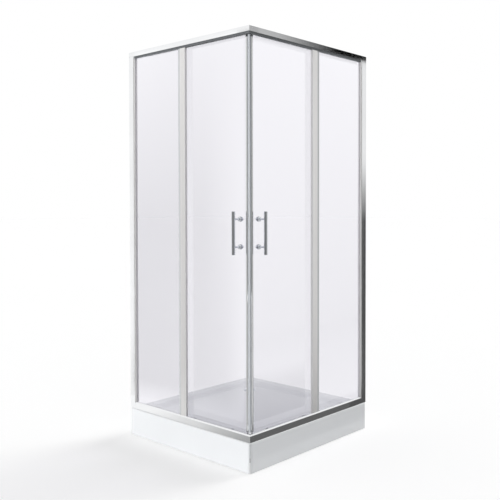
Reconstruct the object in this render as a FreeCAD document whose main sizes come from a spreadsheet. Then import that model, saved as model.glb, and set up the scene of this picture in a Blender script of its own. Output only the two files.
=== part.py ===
import FreeCAD, Part
import math
import os
from types import SimpleNamespace

import Sketcher

# Corner shower enclosure: a square tray on feet, two fixed panes at the walls and two sliding
# doors that meet at the front corner. Millimetres, Z up, origin on the floor under the tray's
# middle. The glazed sides face -Y (left) and +X (right); the walls stand at -X and +Y.

doc = FreeCAD.newDocument("ShowerEnclosure")

SIZES = {
    # Shared clearances
    "cut_overrun": 1.0,
    "fit_gap": 0.05,
    "running_gap": 1.0,
    "side_play": 0.3,
    # Tray
    "tray_side": 900.0,
    "tray_height": 140.0,
    "skirt_clearance": 2.0,
    "tray_wall": 5.0,
    "tray_corner_radius": 20.0,
    "tray_edge_radius": 6.0,
    "rim_width": 64.0,
    "basin_depth": 10.0,
    "basin_slope_run": 60.0,
    "basin_corner_radius": 200.0,
    "basin_lip_radius": 60.0,
    "basin_foot_radius": 60.0,
    # Board and levelling feet under the tray
    "board_thickness": 18.0,
    "board_inset": 85.0,
    "foot_inset": 125.0,
    "foot_pad_radius": 26.0,
    "foot_pad_height": 14.0,
    "foot_pad_shoulder": 5.0,
    "foot_socket_floor": 5.0,
    "foot_stud_radius": 6.0,
    "foot_stud_recess": 4.0,
    "foot_nut_radius": 11.0,
    "foot_nut_height": 10.0,
    # Waste in the tray's back corner
    "drain_inset": 200.0,
    "drain_hole_radius": 26.0,
    "drain_flange_radius": 35.0,
    "drain_flange_thickness": 2.5,
    "drain_tube_wall": 3.0,
    "drain_tube_gap": 2.0,
    "drain_tube_length": 16.0,
    "drain_cover_radius": 30.0,
    "drain_cover_thickness": 3.0,
    "drain_cover_rise": 4.0,
    "drain_slot_radius": 2.5,
    "drain_slot_circle": 16.0,
    "waste_cup_radius": 40.0,
    "waste_cup_height": 62.0,
    "waste_wall": 3.0,
    "waste_tail_radius": 20.0,
    "waste_tail_length": 45.0,
    # Rails
    "enclosure_height": 2020.0,
    "rail_setback": 6.0,
    "rail_wall": 2.0,
    "rail_edge_radius": 1.5,
    "fascia_height": 25.0,
    "strip_width": 7.0,
    "strip_drop": 10.0,
    "strip_recess": 3.0,
    "strip_grip": 11.0,
    "sill_height": 30.0,
    "sill_shoulder": 6.0,
    "sill_shoulder_run": 5.0,
    "sill_divider_height": 32.0,
    "sill_track_wall_height": 20.0,
    "track_gap": 0.3,
    "bead_height": 1.5,
    "bead_width": 3.0,
    # Corner cleats and their screws
    "cleat_reach": 80.0,
    "cleat_thickness": 5.0,
    "cleat_height": 22.0,
    "cleat_screw_first": 40.0,
    "cleat_screw_pitch": 24.0,
    "screw_radius": 2.0,
    "screw_head_radius": 4.0,
    "screw_head_height": 2.2,
    "screw_head_chamfer": 0.8,
    # Wall profiles and fixed panes
    "glass_thickness": 5.0,
    "gasket_thickness": 1.0,
    "gasket_height": 20.0,
    "channel_width": 38.0,
    "channel_wall": 1.8,
    "wall_hole_radius": 3.0,
    "wall_hole_inset": 200.0,
    "adjuster_gap": 0.2,
    "adjuster_wall": 1.6,
    "adjuster_reach": 8.0,
    "adjuster_tail": 24.0,
    "adjuster_screw_place": 12.0,
    "adjuster_screw_length": 7.0,
    "pane_grip": 11.0,
    "pane_top_gap": 6.0,
    "setting_block_height": 4.0,
    "setting_block_length": 40.0,
    "setting_block_inset": 60.0,
    "post_place": 447.0,
    "post_width": 40.0,
    "post_web": 20.0,
    "post_cheek": 4.0,
    "post_edge_radius": 2.0,
    # Sliding doors
    "screw_room": 12.5,
    "door_travel": 325.0,
    "stile_depth": 14.0,
    "stile_edge_radius": 2.0,
    "stile_nose_radius": 4.0,
    "front_stile_place": 31.5,
    "front_stile_width": 18.0,
    "rear_stile_place": 492.0,
    "rear_stile_width": 24.0,
    "stile_web": 4.0,
    "stile_sill_gap": 2.0,
    "seal_gap": 0.3,
    "lip_seal_base": 4.0,
    "lip_seal_tip": 1.0,
    "lip_seal_inset": 1.0,
    "lip_seal_gap": 0.4,
    "door_sill_gap": 7.0,
    "drip_seal_wall": 1.5,
    "drip_seal_cheek": 4.0,
    "drip_seal_body": 2.0,
    "drip_seal_fin": 3.0,
    # Roller gear
    "roller_front_place": 149.0,
    "roller_pitch": 264.0,
    "axle_drop": 15.5,
    "glass_above_axle": 11.5,
    "hanger_sleeve": 5.5,
    "hanger_sleeve_radius": 7.0,
    "hanger_bore_depth": 5.0,
    "hanger_screw_radius": 2.5,
    "hanger_bush_radius": 5.0,
    "hanger_head_radius": 9.0,
    "hanger_head_height": 4.0,
    "axle_radius": 3.0,
    "axle_cap_radius": 5.0,
    "axle_cap_thickness": 1.5,
    "axle_cap_room": 1.5,
    "wheel_width": 6.4,
    "wheel_flange": 1.2,
    "top_wheel_radius": 9.5,
    "bottom_wheel_radius": 8.5,
    "bracket_thickness": 2.5,
    "bracket_stand_off": 2.5,
    "bracket_width": 18.0,
    "bracket_corner_radius": 5.0,
    "bracket_foot": 8.0,
    "bracket_head": 6.0,
    "bracket_hole_rise": 13.0,
    "bracket_bolt_radius": 3.0,
    "bracket_bolt_head_radius": 4.5,
    "bracket_bolt_head_height": 2.5,
    "bumper_length": 15.0,
    "bumper_depth": 9.0,
    "bumper_height": 21.0,
    "bumper_edge_radius": 3.0,
    # Handles
    "handle_place": 92.0,
    "handle_height": 1088.0,
    "handle_length": 200.0,
    "handle_radius": 8.5,
    "handle_end_chamfer": 1.5,
    "handle_hole_pitch": 128.0,
    "handle_reach": 42.0,
    "standoff_radius": 5.0,
    "rosette_radius": 11.0,
    "rosette_thickness": 8.0,
    "rosette_round": 5.0,
    "stud_radius": 4.0,
    "stud_length": 13.0,
    "knob_radius": 12.0,
    "knob_height": 12.0,
    "knob_round": 5.0,
    "knob_bore_depth": 9.0,
    "handle_hole_gap": 1.0,
}

QUARTER_TURN = 90.0
FULL_TURN = 360.0
HEX_SIDES = 6
DRAIN_SLOTS = 8
WALL_HOLES = 4
PLAN = "XY_Plane"
FACE = "XZ_Plane"
SECTION = "YZ_Plane"
DIAGONAL = FreeCAD.Vector(1, 1, 0)
UP = FreeCAD.Vector(0, 0, 1)
NEAR = 1e-6


class Size:
    """A length from the sheet, or one worked out from such lengths: its expression and its value."""

    def __init__(self, text, value):
        self.text = text
        self.value = value

    def __add__(self, other):
        return Size(f"({self.text} + {other.text})", self.value + other.value)

    def __sub__(self, other):
        return Size(f"({self.text} - {other.text})", self.value - other.value)

    def __neg__(self):
        return Size(f"(-{self.text})", -self.value)

    def __mul__(self, factor):
        return Size(f"({self.text} * {factor})", self.value * factor)

    def __truediv__(self, divisor):
        return Size(f"({self.text} / {divisor})", self.value / divisor)


def least(first, second):
    """The smaller of two sizes."""
    return Size(f"min({first.text}; {second.text})", min(first.value, second.value))


class Circle:
    """A round outline in a sketch."""

    def __init__(self, across, upward, radius):
        self.centre = (across, upward)
        self.radius = radius


def write_sheet():
    """Put the driving sizes in the document's sheet and hand them back by name."""
    sheet = doc.addObject("Spreadsheet::Sheet", "Sizes")
    for row, (name, value) in enumerate(SIZES.items(), start=1):
        sheet.set(f"A{row}", name)
        sheet.set(f"B{row}", str(value))
        sheet.setAlias(f"B{row}", name)
    doc.recompute()
    return SimpleNamespace(**{name: Size(f"Sizes.{name}", value) for name, value in SIZES.items()})


s = write_sheet()
ZERO = Size("0", 0.0)

# The side's own frame: "along" runs from the rails' outer corner to the wall, "in" from the
# rails' outer face into the cabin.
rail_corner = s.tray_side / 2 - s.rail_setback
wall_along = s.tray_side - s.rail_setback

# Depths, one behind the other
pane_in = s.rail_wall + s.strip_width
pane_back_in = pane_in + s.glass_thickness
divider_in = pane_back_in + s.gasket_thickness
divider_back_in = divider_in + s.rail_wall
door_in = divider_back_in + s.screw_room
door_back_in = door_in + s.glass_thickness
sleeve_end_in = door_back_in + s.hanger_sleeve
wheel_in = sleeve_end_in + s.side_play
wheel_back_in = wheel_in + s.wheel_width
cap_in = wheel_back_in + s.side_play
cap_end_in = cap_in + s.axle_cap_thickness
track_wall_in = cap_end_in + s.axle_cap_room
rail_depth = track_wall_in + s.rail_wall
bead_in = wheel_in + s.wheel_width / 2 - s.bead_width / 2
bead_back_in = bead_in + s.bead_width
stile_in = door_in + s.glass_thickness / 2 - s.stile_depth / 2
stile_back_in = stile_in + s.stile_depth
channel_depth = stile_in - s.running_gap
sill_pocket_in = pane_in - s.gasket_thickness

# Heights
rail_web_under = s.enclosure_height - s.rail_wall
fascia_under = s.enclosure_height - s.fascia_height
pocket_under = fascia_under - s.strip_drop
top_axle_up = s.enclosure_height - s.axle_drop
ledge_top = top_axle_up - s.top_wheel_radius - s.track_gap - s.bead_height
ledge_under = ledge_top - s.rail_wall
sill_web_top = s.tray_height + s.rail_wall
sill_top = s.tray_height + s.sill_height + s.sill_shoulder
bottom_axle_up = sill_web_top + s.bead_height + s.track_gap + s.bottom_wheel_radius
stile_foot = sill_top + s.stile_sill_gap
stile_head = ledge_under - s.running_gap * 2
door_foot = sill_web_top + s.door_sill_gap
door_head = top_axle_up + s.glass_above_axle
bracket_hole_up = door_foot + s.bracket_hole_rise
floor_under = s.tray_height - s.basin_depth - s.tray_wall
basin_floor = s.tray_height - s.basin_depth

# Places along a side
channel_along = wall_along - s.channel_width
adjuster_along = channel_along - s.adjuster_reach
pane_along = s.post_place + s.post_web
pane_end_along = adjuster_along + s.pane_grip
post_end_along = s.post_place + s.post_width
door_along = s.front_stile_place + door_back_in - stile_in + s.stile_web
door_end_along = s.rear_stile_place + s.rear_stile_width - s.stile_web - s.running_gap * 2
roller_places = (s.roller_front_place, s.roller_front_place + s.roller_pitch)
handle_holes_up = (
    s.handle_height - s.handle_hole_pitch / 2,
    s.handle_height + s.handle_hole_pitch / 2,
)
handle_axis_in = door_in - s.handle_reach
wall_hole_step = (pocket_under - s.tray_height - s.wall_hole_inset * 2) / (WALL_HOLES - 1)
wall_holes_up = [s.tray_height + s.wall_hole_inset + wall_hole_step * i for i in range(WALL_HOLES)]
cleat_in = pane_in + (divider_in - pane_in - s.cleat_thickness) / 2
cleat_screws = (s.cleat_screw_first, s.cleat_screw_first + s.cleat_screw_pitch)
top_cleat_up = rail_web_under - s.cleat_height
cleat_screws_up = (sill_web_top + s.cleat_height / 2, top_cleat_up + s.cleat_height / 2)
adjuster_screw_along = channel_along + s.adjuster_screw_place
screw_hole = s.screw_radius + s.fit_gap
diagonal_gap = s.seal_gap * math.sqrt(2)

nodes = {}


def new_body(name, x=ZERO, y=ZERO, z=ZERO, turn=0.0):
    """Start a body at a bound place, turned about Z."""
    body = doc.addObject("PartDesign::Body", name)
    body.Label = name
    body.Placement = FreeCAD.Placement(FreeCAD.Vector(), FreeCAD.Rotation(UP, turn))
    for axis, size in (("x", x), ("y", y), ("z", z)):
        body.setExpression(f"Placement.Base.{axis}", size.text)
    return body


def side_body(name, along=ZERO, inward=ZERO, up=ZERO):
    """Start a body in the right side's frame: X along the side, Y into the cabin, Z up."""
    return new_body(name, rail_corner - inward, along - rail_corner, up, QUARTER_TURN)


def sketch_on(body, plane, start=ZERO):
    """Add a sketch on one of the body's own planes, moved along the plane's axis."""
    sketch = body.newObject("Sketcher::SketchObject", f"{body.Name}_sketch")
    support = next(feature for feature in body.Origin.OriginFeatures if feature.Role == plane)
    sketch.AttachmentSupport = [(support, "")]
    sketch.MapMode = "FlatFace"
    lift = -start if plane == FACE else start
    sketch.setExpression("AttachmentOffset.Base.z", lift.text)
    return sketch


def place_point(sketch, geometry, vertex, point):
    """Tie one point of a sketch to its two sizes."""
    for kind, axis_line, size in (("DistanceX", -2, point[0]), ("DistanceY", -1, point[1])):
        if abs(size.value) < NEAR:
            sketch.addConstraint(Sketcher.Constraint("PointOnObject", geometry, vertex, axis_line))
            continue
        index = sketch.addConstraint(Sketcher.Constraint(kind, -1, 1, geometry, vertex, size.value))
        sketch.setExpression(f"Constraints[{index}]", size.text)


def draw_outline(sketch, points):
    """Draw a closed outline of straight lines through bound points."""
    first = sketch.GeometryCount
    count = len(points)
    spots = [FreeCAD.Vector(across.value, upward.value, 0) for across, upward in points]
    for index in range(count):
        sketch.addGeometry(Part.LineSegment(spots[index], spots[(index + 1) % count]))
    for index in range(count):
        follower = first + (index + 1) % count
        sketch.addConstraint(Sketcher.Constraint("Coincident", first + index, 2, follower, 1))
    for index, point in enumerate(points):
        place_point(sketch, first + index, 1, point)


def draw_circle(sketch, circle):
    """Draw a bound circle."""
    centre = FreeCAD.Vector(circle.centre[0].value, circle.centre[1].value, 0)
    index = sketch.addGeometry(Part.Circle(centre, UP, circle.radius.value))
    radius = sketch.addConstraint(Sketcher.Constraint("Radius", index, circle.radius.value))
    sketch.setExpression(f"Constraints[{radius}]", circle.radius.text)
    place_point(sketch, index, 3, circle.centre)


def draw(sketch, loops):
    """Draw outlines and circles into one sketch."""
    for loop in loops:
        if isinstance(loop, Circle):
            draw_circle(sketch, loop)
        else:
            draw_outline(sketch, loop)


def rectangle(left, low, right, high):
    """The four points of an upright rectangle."""
    return [(left, low), (right, low), (right, high), (left, high)]


def extrude(body, kind, plane, start, end, loops, backwards):
    """Extrude loops from start to end along the plane's axis."""
    sketch = sketch_on(body, plane, start)
    draw(sketch, loops)
    feature = body.newObject(kind, f"{body.Name}_extrusion")
    feature.Profile = sketch
    feature.setExpression("Length", (end - start).text)
    feature.Reversed = backwards
    return feature


def pad(body, plane, start, end, *loops):
    """Add material between two places on the plane's axis."""
    return extrude(body, "PartDesign::Pad", plane, start, end, loops, plane == FACE)


def pocket(body, plane, start, end, *loops):
    """Cut material away between two places on the plane's axis."""
    return extrude(body, "PartDesign::Pocket", plane, start, end, loops, plane != FACE)


def sink(body, low, floor, high, mouth):
    """Cut a hollow whose walls slope from the mouth's outline down to the floor's."""
    sketches = []
    for up, outline in ((low, floor), (high, mouth)):
        sketch = sketch_on(body, PLAN, up)
        draw(sketch, [outline])
        sketches.append(sketch)
    feature = body.newObject("PartDesign::SubtractiveLoft", f"{body.Name}_hollow")
    feature.Profile = sketches[0]
    feature.Sections = sketches[1:]
    feature.Ruled = True
    return feature


def revolve(body, plane, points):
    """Turn a half section about the body's own upright axis of the sketch."""
    sketch = sketch_on(body, plane)
    draw_outline(sketch, points)
    feature = body.newObject("PartDesign::Revolution", f"{body.Name}_turning")
    feature.Profile = sketch
    feature.ReferenceAxis = (sketch, ["V_Axis"])
    feature.Angle = FULL_TURN
    return feature


def round_edges(body, radius, chosen):
    """Fillet the edges of the body's last feature that the test picks."""
    doc.recompute()
    base = body.Tip
    names = [f"Edge{index}" for index, edge in enumerate(base.Shape.Edges, start=1) if chosen(edge)]
    feature = body.newObject("PartDesign::Fillet", f"{body.Name}_rounding")
    feature.Base = (base, names)
    feature.setExpression("Radius", radius.text)
    return feature


def runs_along(edge, axis):
    """True for a straight edge that runs along one axis of its body (0, 1 or 2)."""
    if len(edge.Vertexes) < 2 or not isinstance(edge.Curve, Part.Line):
        return False
    return abs(abs(edge.Curve.Direction[axis]) - 1) < NEAR


def lies_at(edge, axis, size):
    """True for an edge whose ends both have this coordinate."""
    return all(abs(vertex.Point[axis] - size.value) < NEAR for vertex in edge.Vertexes)


def rims(edge, radius, depth):
    """True for the round edge of this radius at this depth into the cabin."""
    if not isinstance(edge.Curve, Part.Circle):
        return False
    return abs(edge.Curve.Radius - radius.value) < NEAR and lies_at(edge, 1, depth)


def twin(source, name):
    """The other side's piece, mirrored across the enclosure's diagonal."""
    mirrored = doc.addObject("Part::Mirroring", name)
    mirrored.Label = name
    mirrored.Source = source
    mirrored.Base = FreeCAD.Vector(0, 0, 0)
    mirrored.Normal = DIAGONAL
    return mirrored


def group(name, members):
    """Several like solids that make one sub-part."""
    compound = doc.addObject("Part::Compound", name)
    compound.Label = name
    compound.Links = members
    return compound


def keep_pair(name, piece):
    """Keep the right side's piece and its twin on the left."""
    nodes[f"right_{name}"] = piece
    nodes[f"left_{name}"] = twin(piece, f"left_{name}")


def keep_both_sides(name, members):
    """Keep like pieces of both sides as one sub-part."""
    right = group(f"{name}_right_side", members)
    nodes[name] = group(name, [right, twin(right, f"{name}_left_side")])


def cut_mitre(body, low, high):
    """Cut a rail's front end along the enclosure's diagonal."""
    far = rail_depth + s.cut_overrun
    start = low - s.cut_overrun
    end = high + s.cut_overrun
    pocket(body, PLAN, start, end, [(ZERO, ZERO), (far, far), (ZERO, far)])


def drill_divider(body, up):
    """Holes for the cleat's screws in the wall between pane pocket and roller channel."""
    holes = [Circle(along, up, screw_hole) for along in cleat_screws]
    pocket(body, FACE, divider_in - s.cut_overrun, divider_back_in + s.cut_overrun, *holes)


def make_tray():
    """Acrylic shell: skirt, flat rim, shallow basin with sloping walls, hollow underneath."""
    half = s.tray_side / 2
    body = new_body("tray_shell", -half, -half)
    side = s.tray_side
    pad(body, PLAN, s.skirt_clearance, s.tray_height, rectangle(ZERO, ZERO, side, side))
    round_edges(body, s.tray_corner_radius, lambda edge: runs_along(edge, 2))
    round_edges(body, s.tray_edge_radius, lambda edge: lies_at(edge, 2, s.tray_height))
    near = s.rim_width
    far = side - near
    low_near = near + s.basin_slope_run
    low_far = side - low_near
    mouth = rectangle(near, near, far, far)
    sink(body, basin_floor, rectangle(low_near, low_near, low_far, low_far), s.tray_height, mouth)

    def in_basin(edge):
        reach = [value for vertex in edge.Vertexes for value in (vertex.X, vertex.Y)]
        return near.value - NEAR < min(reach) and max(reach) < far.value + NEAR

    def slopes(edge):
        return not lies_at(edge, 2, basin_floor) and not lies_at(edge, 2, s.tray_height)

    round_edges(body, s.basin_corner_radius, lambda edge: in_basin(edge) and slopes(edge))
    round_edges(body, s.basin_foot_radius, lambda edge: lies_at(edge, 2, basin_floor))
    round_edges(body, s.basin_lip_radius, lambda edge: lies_at(edge, 2, s.tray_height) and in_basin(edge))
    wall = s.tray_wall
    inside = side - wall
    under = s.skirt_clearance - s.cut_overrun
    pocket(body, PLAN, under, floor_under, rectangle(wall, wall, inside, inside))
    ring_near = s.rim_width - wall
    ring_far = side - ring_near
    pocket(
        body,
        PLAN,
        under,
        s.tray_height - wall,
        rectangle(wall, wall, inside, inside),
        rectangle(ring_near, ring_near, ring_far, ring_far),
    )
    drain = Circle(s.drain_inset, side - s.drain_inset, s.drain_hole_radius)
    pocket(body, PLAN, floor_under - s.cut_overrun, basin_floor + s.cut_overrun, drain)
    nodes["tray_shell"] = body


def foot_places():
    """One foot under the middle and four near the corners."""
    reach = s.tray_side / 2 - s.foot_inset
    corners = [(x, y) for x in (-reach, reach) for y in (-reach, reach)]
    return [(ZERO, ZERO)] + corners


def make_base():
    """The stiffening board under the basin and five levelling feet."""
    board_low = floor_under - s.board_thickness
    half = s.tray_side / 2
    corner = -half + s.board_inset
    far = s.tray_side - s.board_inset * 2
    body = new_body("tray_base_board", corner, corner)
    stud_hole = s.foot_stud_radius + s.fit_gap
    holes = [Circle(x - corner, y - corner, stud_hole) for x, y in foot_places()]
    drain_near = s.drain_inset - s.board_inset
    drain_hole = s.waste_cup_radius + s.running_gap * 2
    holes.append(Circle(drain_near, far - drain_near, drain_hole))
    pad(body, PLAN, board_low, floor_under, rectangle(ZERO, ZERO, far, far), *holes)
    nodes["tray_base_board"] = body
    pads = []
    studs = []
    nuts = []
    for number, (x, y) in enumerate(foot_places(), start=1):
        foot = new_body(f"foot_pad_{number}", x, y)
        outer = s.foot_pad_radius
        neck = s.foot_stud_radius * 2
        revolve(
            foot,
            FACE,
            [
                (ZERO, ZERO),
                (outer, ZERO),
                (outer, s.foot_pad_shoulder),
                (neck, s.foot_pad_height),
                (stud_hole, s.foot_pad_height),
                (stud_hole, s.foot_socket_floor),
                (ZERO, s.foot_socket_floor),
            ],
        )
        pads.append(foot)
        stud = new_body(f"foot_stud_{number}", x, y)
        stud_top = floor_under - s.foot_stud_recess
        pad(stud, PLAN, s.foot_socket_floor, stud_top, Circle(ZERO, ZERO, s.foot_stud_radius))
        studs.append(stud)
        nut = new_body(f"foot_nut_{number}", x, y)
        turns = [math.tau * step / HEX_SIDES for step in range(HEX_SIDES)]
        hexagon = [(s.foot_nut_radius * math.cos(a), s.foot_nut_radius * math.sin(a)) for a in turns]
        pad(nut, PLAN, board_low - s.foot_nut_height, board_low, hexagon, Circle(ZERO, ZERO, stud_hole))
        nuts.append(nut)
    nodes["foot_pads"] = group("foot_pads", pads)
    nodes["foot_studs"] = group("foot_studs", studs)
    nodes["foot_nuts"] = group("foot_nuts", nuts)


def make_waste():
    """Flange on the basin floor, slotted cover and the cup with its tail below."""
    half = s.tray_side / 2
    x = s.drain_inset - half
    y = half - s.drain_inset
    tube = s.drain_hole_radius - s.drain_tube_gap
    flange_top = basin_floor + s.drain_flange_thickness
    flange = new_body("drain_flange", x, y)
    tube_foot = basin_floor - s.drain_tube_length
    revolve(
        flange,
        FACE,
        [
            (tube - s.drain_tube_wall, tube_foot),
            (tube, tube_foot),
            (tube, basin_floor),
            (s.drain_flange_radius, basin_floor),
            (s.drain_cover_radius, flange_top),
            (tube - s.drain_tube_wall, flange_top),
        ],
    )
    nodes["drain_flange"] = flange
    cover = new_body("drain_cover", x, y, flange_top)
    revolve(
        cover,
        FACE,
        [
            (ZERO, s.drain_cover_rise),
            (tube, ZERO),
            (s.drain_cover_radius, ZERO),
            (s.drain_cover_radius, s.drain_cover_thickness),
            (ZERO, s.drain_cover_rise + s.drain_cover_thickness),
        ],
    )
    turns = [math.tau * (step + 1 / 2) / DRAIN_SLOTS for step in range(DRAIN_SLOTS)]
    ring = s.drain_slot_circle
    slots = [Circle(ring * math.cos(a), ring * math.sin(a), s.drain_slot_radius) for a in turns]
    cover_top = s.drain_cover_rise + s.drain_cover_thickness + s.cut_overrun
    pocket(cover, PLAN, -s.cut_overrun, cover_top, *slots)
    nodes["drain_cover"] = cover
    waste = new_body("waste_body", x, y)
    cup_foot = floor_under - s.waste_cup_height
    tail_foot = cup_foot - s.waste_tail_length
    cup = s.waste_cup_radius
    tail = s.waste_tail_radius
    wall = s.waste_wall
    revolve(
        waste,
        FACE,
        [
            (tail - wall, tail_foot),
            (tail, tail_foot),
            (tail, cup_foot),
            (cup, cup_foot),
            (cup, floor_under),
            (cup - wall, floor_under),
            (cup - wall, cup_foot + wall),
            (tail - wall, cup_foot + wall),
        ],
    )
    nodes["waste_body"] = waste


def make_rails():
    """Top and bottom extrusions with pane pocket, roller channel and track bead."""
    wall = s.rail_wall
    top = s.enclosure_height
    rail = side_body("right_top_rail")
    section = [
        (ZERO, top),
        (ZERO, fascia_under),
        (wall, fascia_under),
        (wall, rail_web_under),
        (divider_in, rail_web_under),
        (divider_in, pocket_under),
        (divider_back_in, pocket_under),
        (divider_back_in, rail_web_under),
        (track_wall_in, rail_web_under),
        (track_wall_in, ledge_top),
        (bead_back_in, ledge_top),
        (bead_back_in, ledge_top + s.bead_height),
        (bead_in, ledge_top + s.bead_height),
        (bead_in, ledge_top),
        (sleeve_end_in, ledge_top),
        (sleeve_end_in, ledge_under),
        (rail_depth, ledge_under),
        (rail_depth, top),
    ]
    pad(rail, SECTION, ZERO, wall_along, section)

    def top_edge(edge):
        outer = lies_at(edge, 1, ZERO) or lies_at(edge, 1, rail_depth)
        return runs_along(edge, 0) and lies_at(edge, 2, top) and outer

    round_edges(rail, s.rail_edge_radius, top_edge)
    cut_mitre(rail, least(ledge_under, pocket_under), top)
    channel_back = wall_along - s.channel_wall - s.fit_gap
    low = pocket_under - s.cut_overrun
    notch = rectangle(channel_back, low, wall_along + s.cut_overrun, fascia_under)
    pocket(rail, FACE, divider_in - s.cut_overrun, divider_back_in + s.cut_overrun, notch)
    drill_divider(rail, cleat_screws_up[1])
    keep_pair("top_rail", rail)

    sill = side_body("right_bottom_rail")
    foot = s.tray_height
    brow = foot + s.sill_height
    chamber_back = sill_pocket_in - wall
    bead_top = sill_web_top + s.bead_height
    section = [
        (ZERO, foot),
        (rail_depth, foot),
        (rail_depth, foot + s.sill_track_wall_height),
        (track_wall_in, foot + s.sill_track_wall_height),
        (track_wall_in, sill_web_top),
        (bead_back_in, sill_web_top),
        (bead_back_in, bead_top),
        (bead_in, bead_top),
        (bead_in, sill_web_top),
        (divider_back_in, sill_web_top),
        (divider_back_in, foot + s.sill_divider_height),
        (divider_in, foot + s.sill_divider_height),
        (divider_in, sill_web_top),
        (sill_pocket_in, sill_web_top),
        (sill_pocket_in, sill_top),
        (s.sill_shoulder_run, sill_top),
        (ZERO, brow),
    ]
    chamber = [
        (wall, sill_web_top),
        (chamber_back, sill_web_top),
        (chamber_back, sill_top - wall),
        (wall, brow - wall / 2),
    ]
    pad(sill, SECTION, ZERO, channel_along, section, chamber)
    cut_mitre(sill, foot, sill_top)
    drill_divider(sill, cleat_screws_up[0])
    keep_pair("bottom_rail", sill)

    strip = side_body("right_top_rail_strip")
    grip_top = fascia_under + s.strip_grip
    recess = wall + s.strip_recess
    section = [
        (wall, grip_top),
        (wall, fascia_under),
        (recess, fascia_under),
        (recess, pocket_under),
        (pane_in, pocket_under),
        (pane_in, grip_top),
    ]
    pad(strip, SECTION, ZERO, channel_along, section)
    cut_mitre(strip, pocket_under, grip_top)
    keep_pair("top_rail_strip", strip)


def make_cleats():
    """Angle cleats that join the two sides' rails in their pane pockets, and their screws."""
    near = cleat_in
    back = cleat_in + s.cleat_thickness
    reach = s.cleat_reach
    angle = [(near, near), (reach, near), (reach, back), (back, back), (back, reach), (near, reach)]
    cleats = []
    for name, low, up in (
        ("bottom_cleat", sill_web_top, cleat_screws_up[0]),
        ("top_cleat", top_cleat_up, cleat_screws_up[1]),
    ):
        body = side_body(name)
        pad(body, PLAN, low, low + s.cleat_height, angle)
        start = near - s.cut_overrun
        end = back + s.cut_overrun
        pocket(body, FACE, start, end, *[Circle(along, up, screw_hole) for along in cleat_screws])
        pocket(body, SECTION, start, end, *[Circle(along, up, screw_hole) for along in cleat_screws])
        cleats.append(body)
    nodes["corner_cleats"] = group("corner_cleats", cleats)
    screws = []
    for along in cleat_screws:
        for up in cleat_screws_up:
            body = side_body(f"cleat_screw_{len(screws)}", along, ZERO, up)
            turn_screw(body, cleat_in, divider_back_in)
            screws.append(body)
    keep_both_sides("corner_screws", screws)


def turn_screw(body, tip_in, seat_in):
    """A pan-head screw that points out of the cabin, its head seated at the given depth."""
    head = seat_in + s.screw_head_height
    revolve(
        body,
        PLAN,
        [
            (ZERO, tip_in),
            (s.screw_radius, tip_in),
            (s.screw_radius, seat_in),
            (s.screw_head_radius, seat_in),
            (s.screw_head_radius, head - s.screw_head_chamfer),
            (s.screw_head_radius - s.screw_head_chamfer, head),
            (ZERO, head),
        ],
    )


def make_wall_profiles():
    """Channel screwed to the wall, and the telescoping profile that holds the pane in it."""
    channel = side_body("right_wall_channel")
    skin = s.channel_wall
    section = [
        (channel_along, ZERO),
        (wall_along, ZERO),
        (wall_along, channel_depth),
        (channel_along, channel_depth),
        (channel_along, channel_depth - skin),
        (wall_along - skin, channel_depth - skin),
        (wall_along - skin, skin),
        (channel_along, skin),
    ]
    pad(channel, PLAN, s.tray_height, fascia_under, section)
    middle = channel_depth / 2
    wall_holes = [Circle(middle, up, s.wall_hole_radius) for up in wall_holes_up]
    start = wall_along - skin - s.cut_overrun
    pocket(channel, SECTION, start, wall_along + s.cut_overrun, *wall_holes)
    screw_holes = [Circle(adjuster_screw_along, up, screw_hole) for up in wall_holes_up]
    start = channel_depth - skin - s.cut_overrun
    pocket(channel, FACE, start, channel_depth + s.cut_overrun, *screw_holes)
    keep_pair("wall_channel", channel)

    adjuster = side_body("right_wall_adjuster")
    near = skin + s.adjuster_gap
    far = channel_depth - skin - s.adjuster_gap
    tail = channel_along + s.adjuster_tail
    inner = s.adjuster_wall
    section = [
        (adjuster_along, near),
        (tail, near),
        (tail, far),
        (adjuster_along, far),
        (adjuster_along, pane_back_in),
        (pane_end_along, pane_back_in),
        (pane_end_along, pane_in),
        (adjuster_along, pane_in),
    ]
    chamber = rectangle(pane_end_along + inner, near + inner, tail - inner, far - inner)
    pad(adjuster, PLAN, sill_top, pocket_under, section, chamber)
    start = far - inner - s.cut_overrun
    pocket(adjuster, FACE, start, far + s.cut_overrun, *screw_holes)
    keep_pair("wall_adjuster", adjuster)

    screws = []
    for number, up in enumerate(wall_holes_up):
        body = side_body(f"adjuster_screw_{number}", adjuster_screw_along, ZERO, up)
        turn_screw(body, channel_depth - s.adjuster_screw_length, channel_depth)
        screws.append(body)
    keep_both_sides("adjuster_screws", screws)


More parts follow.
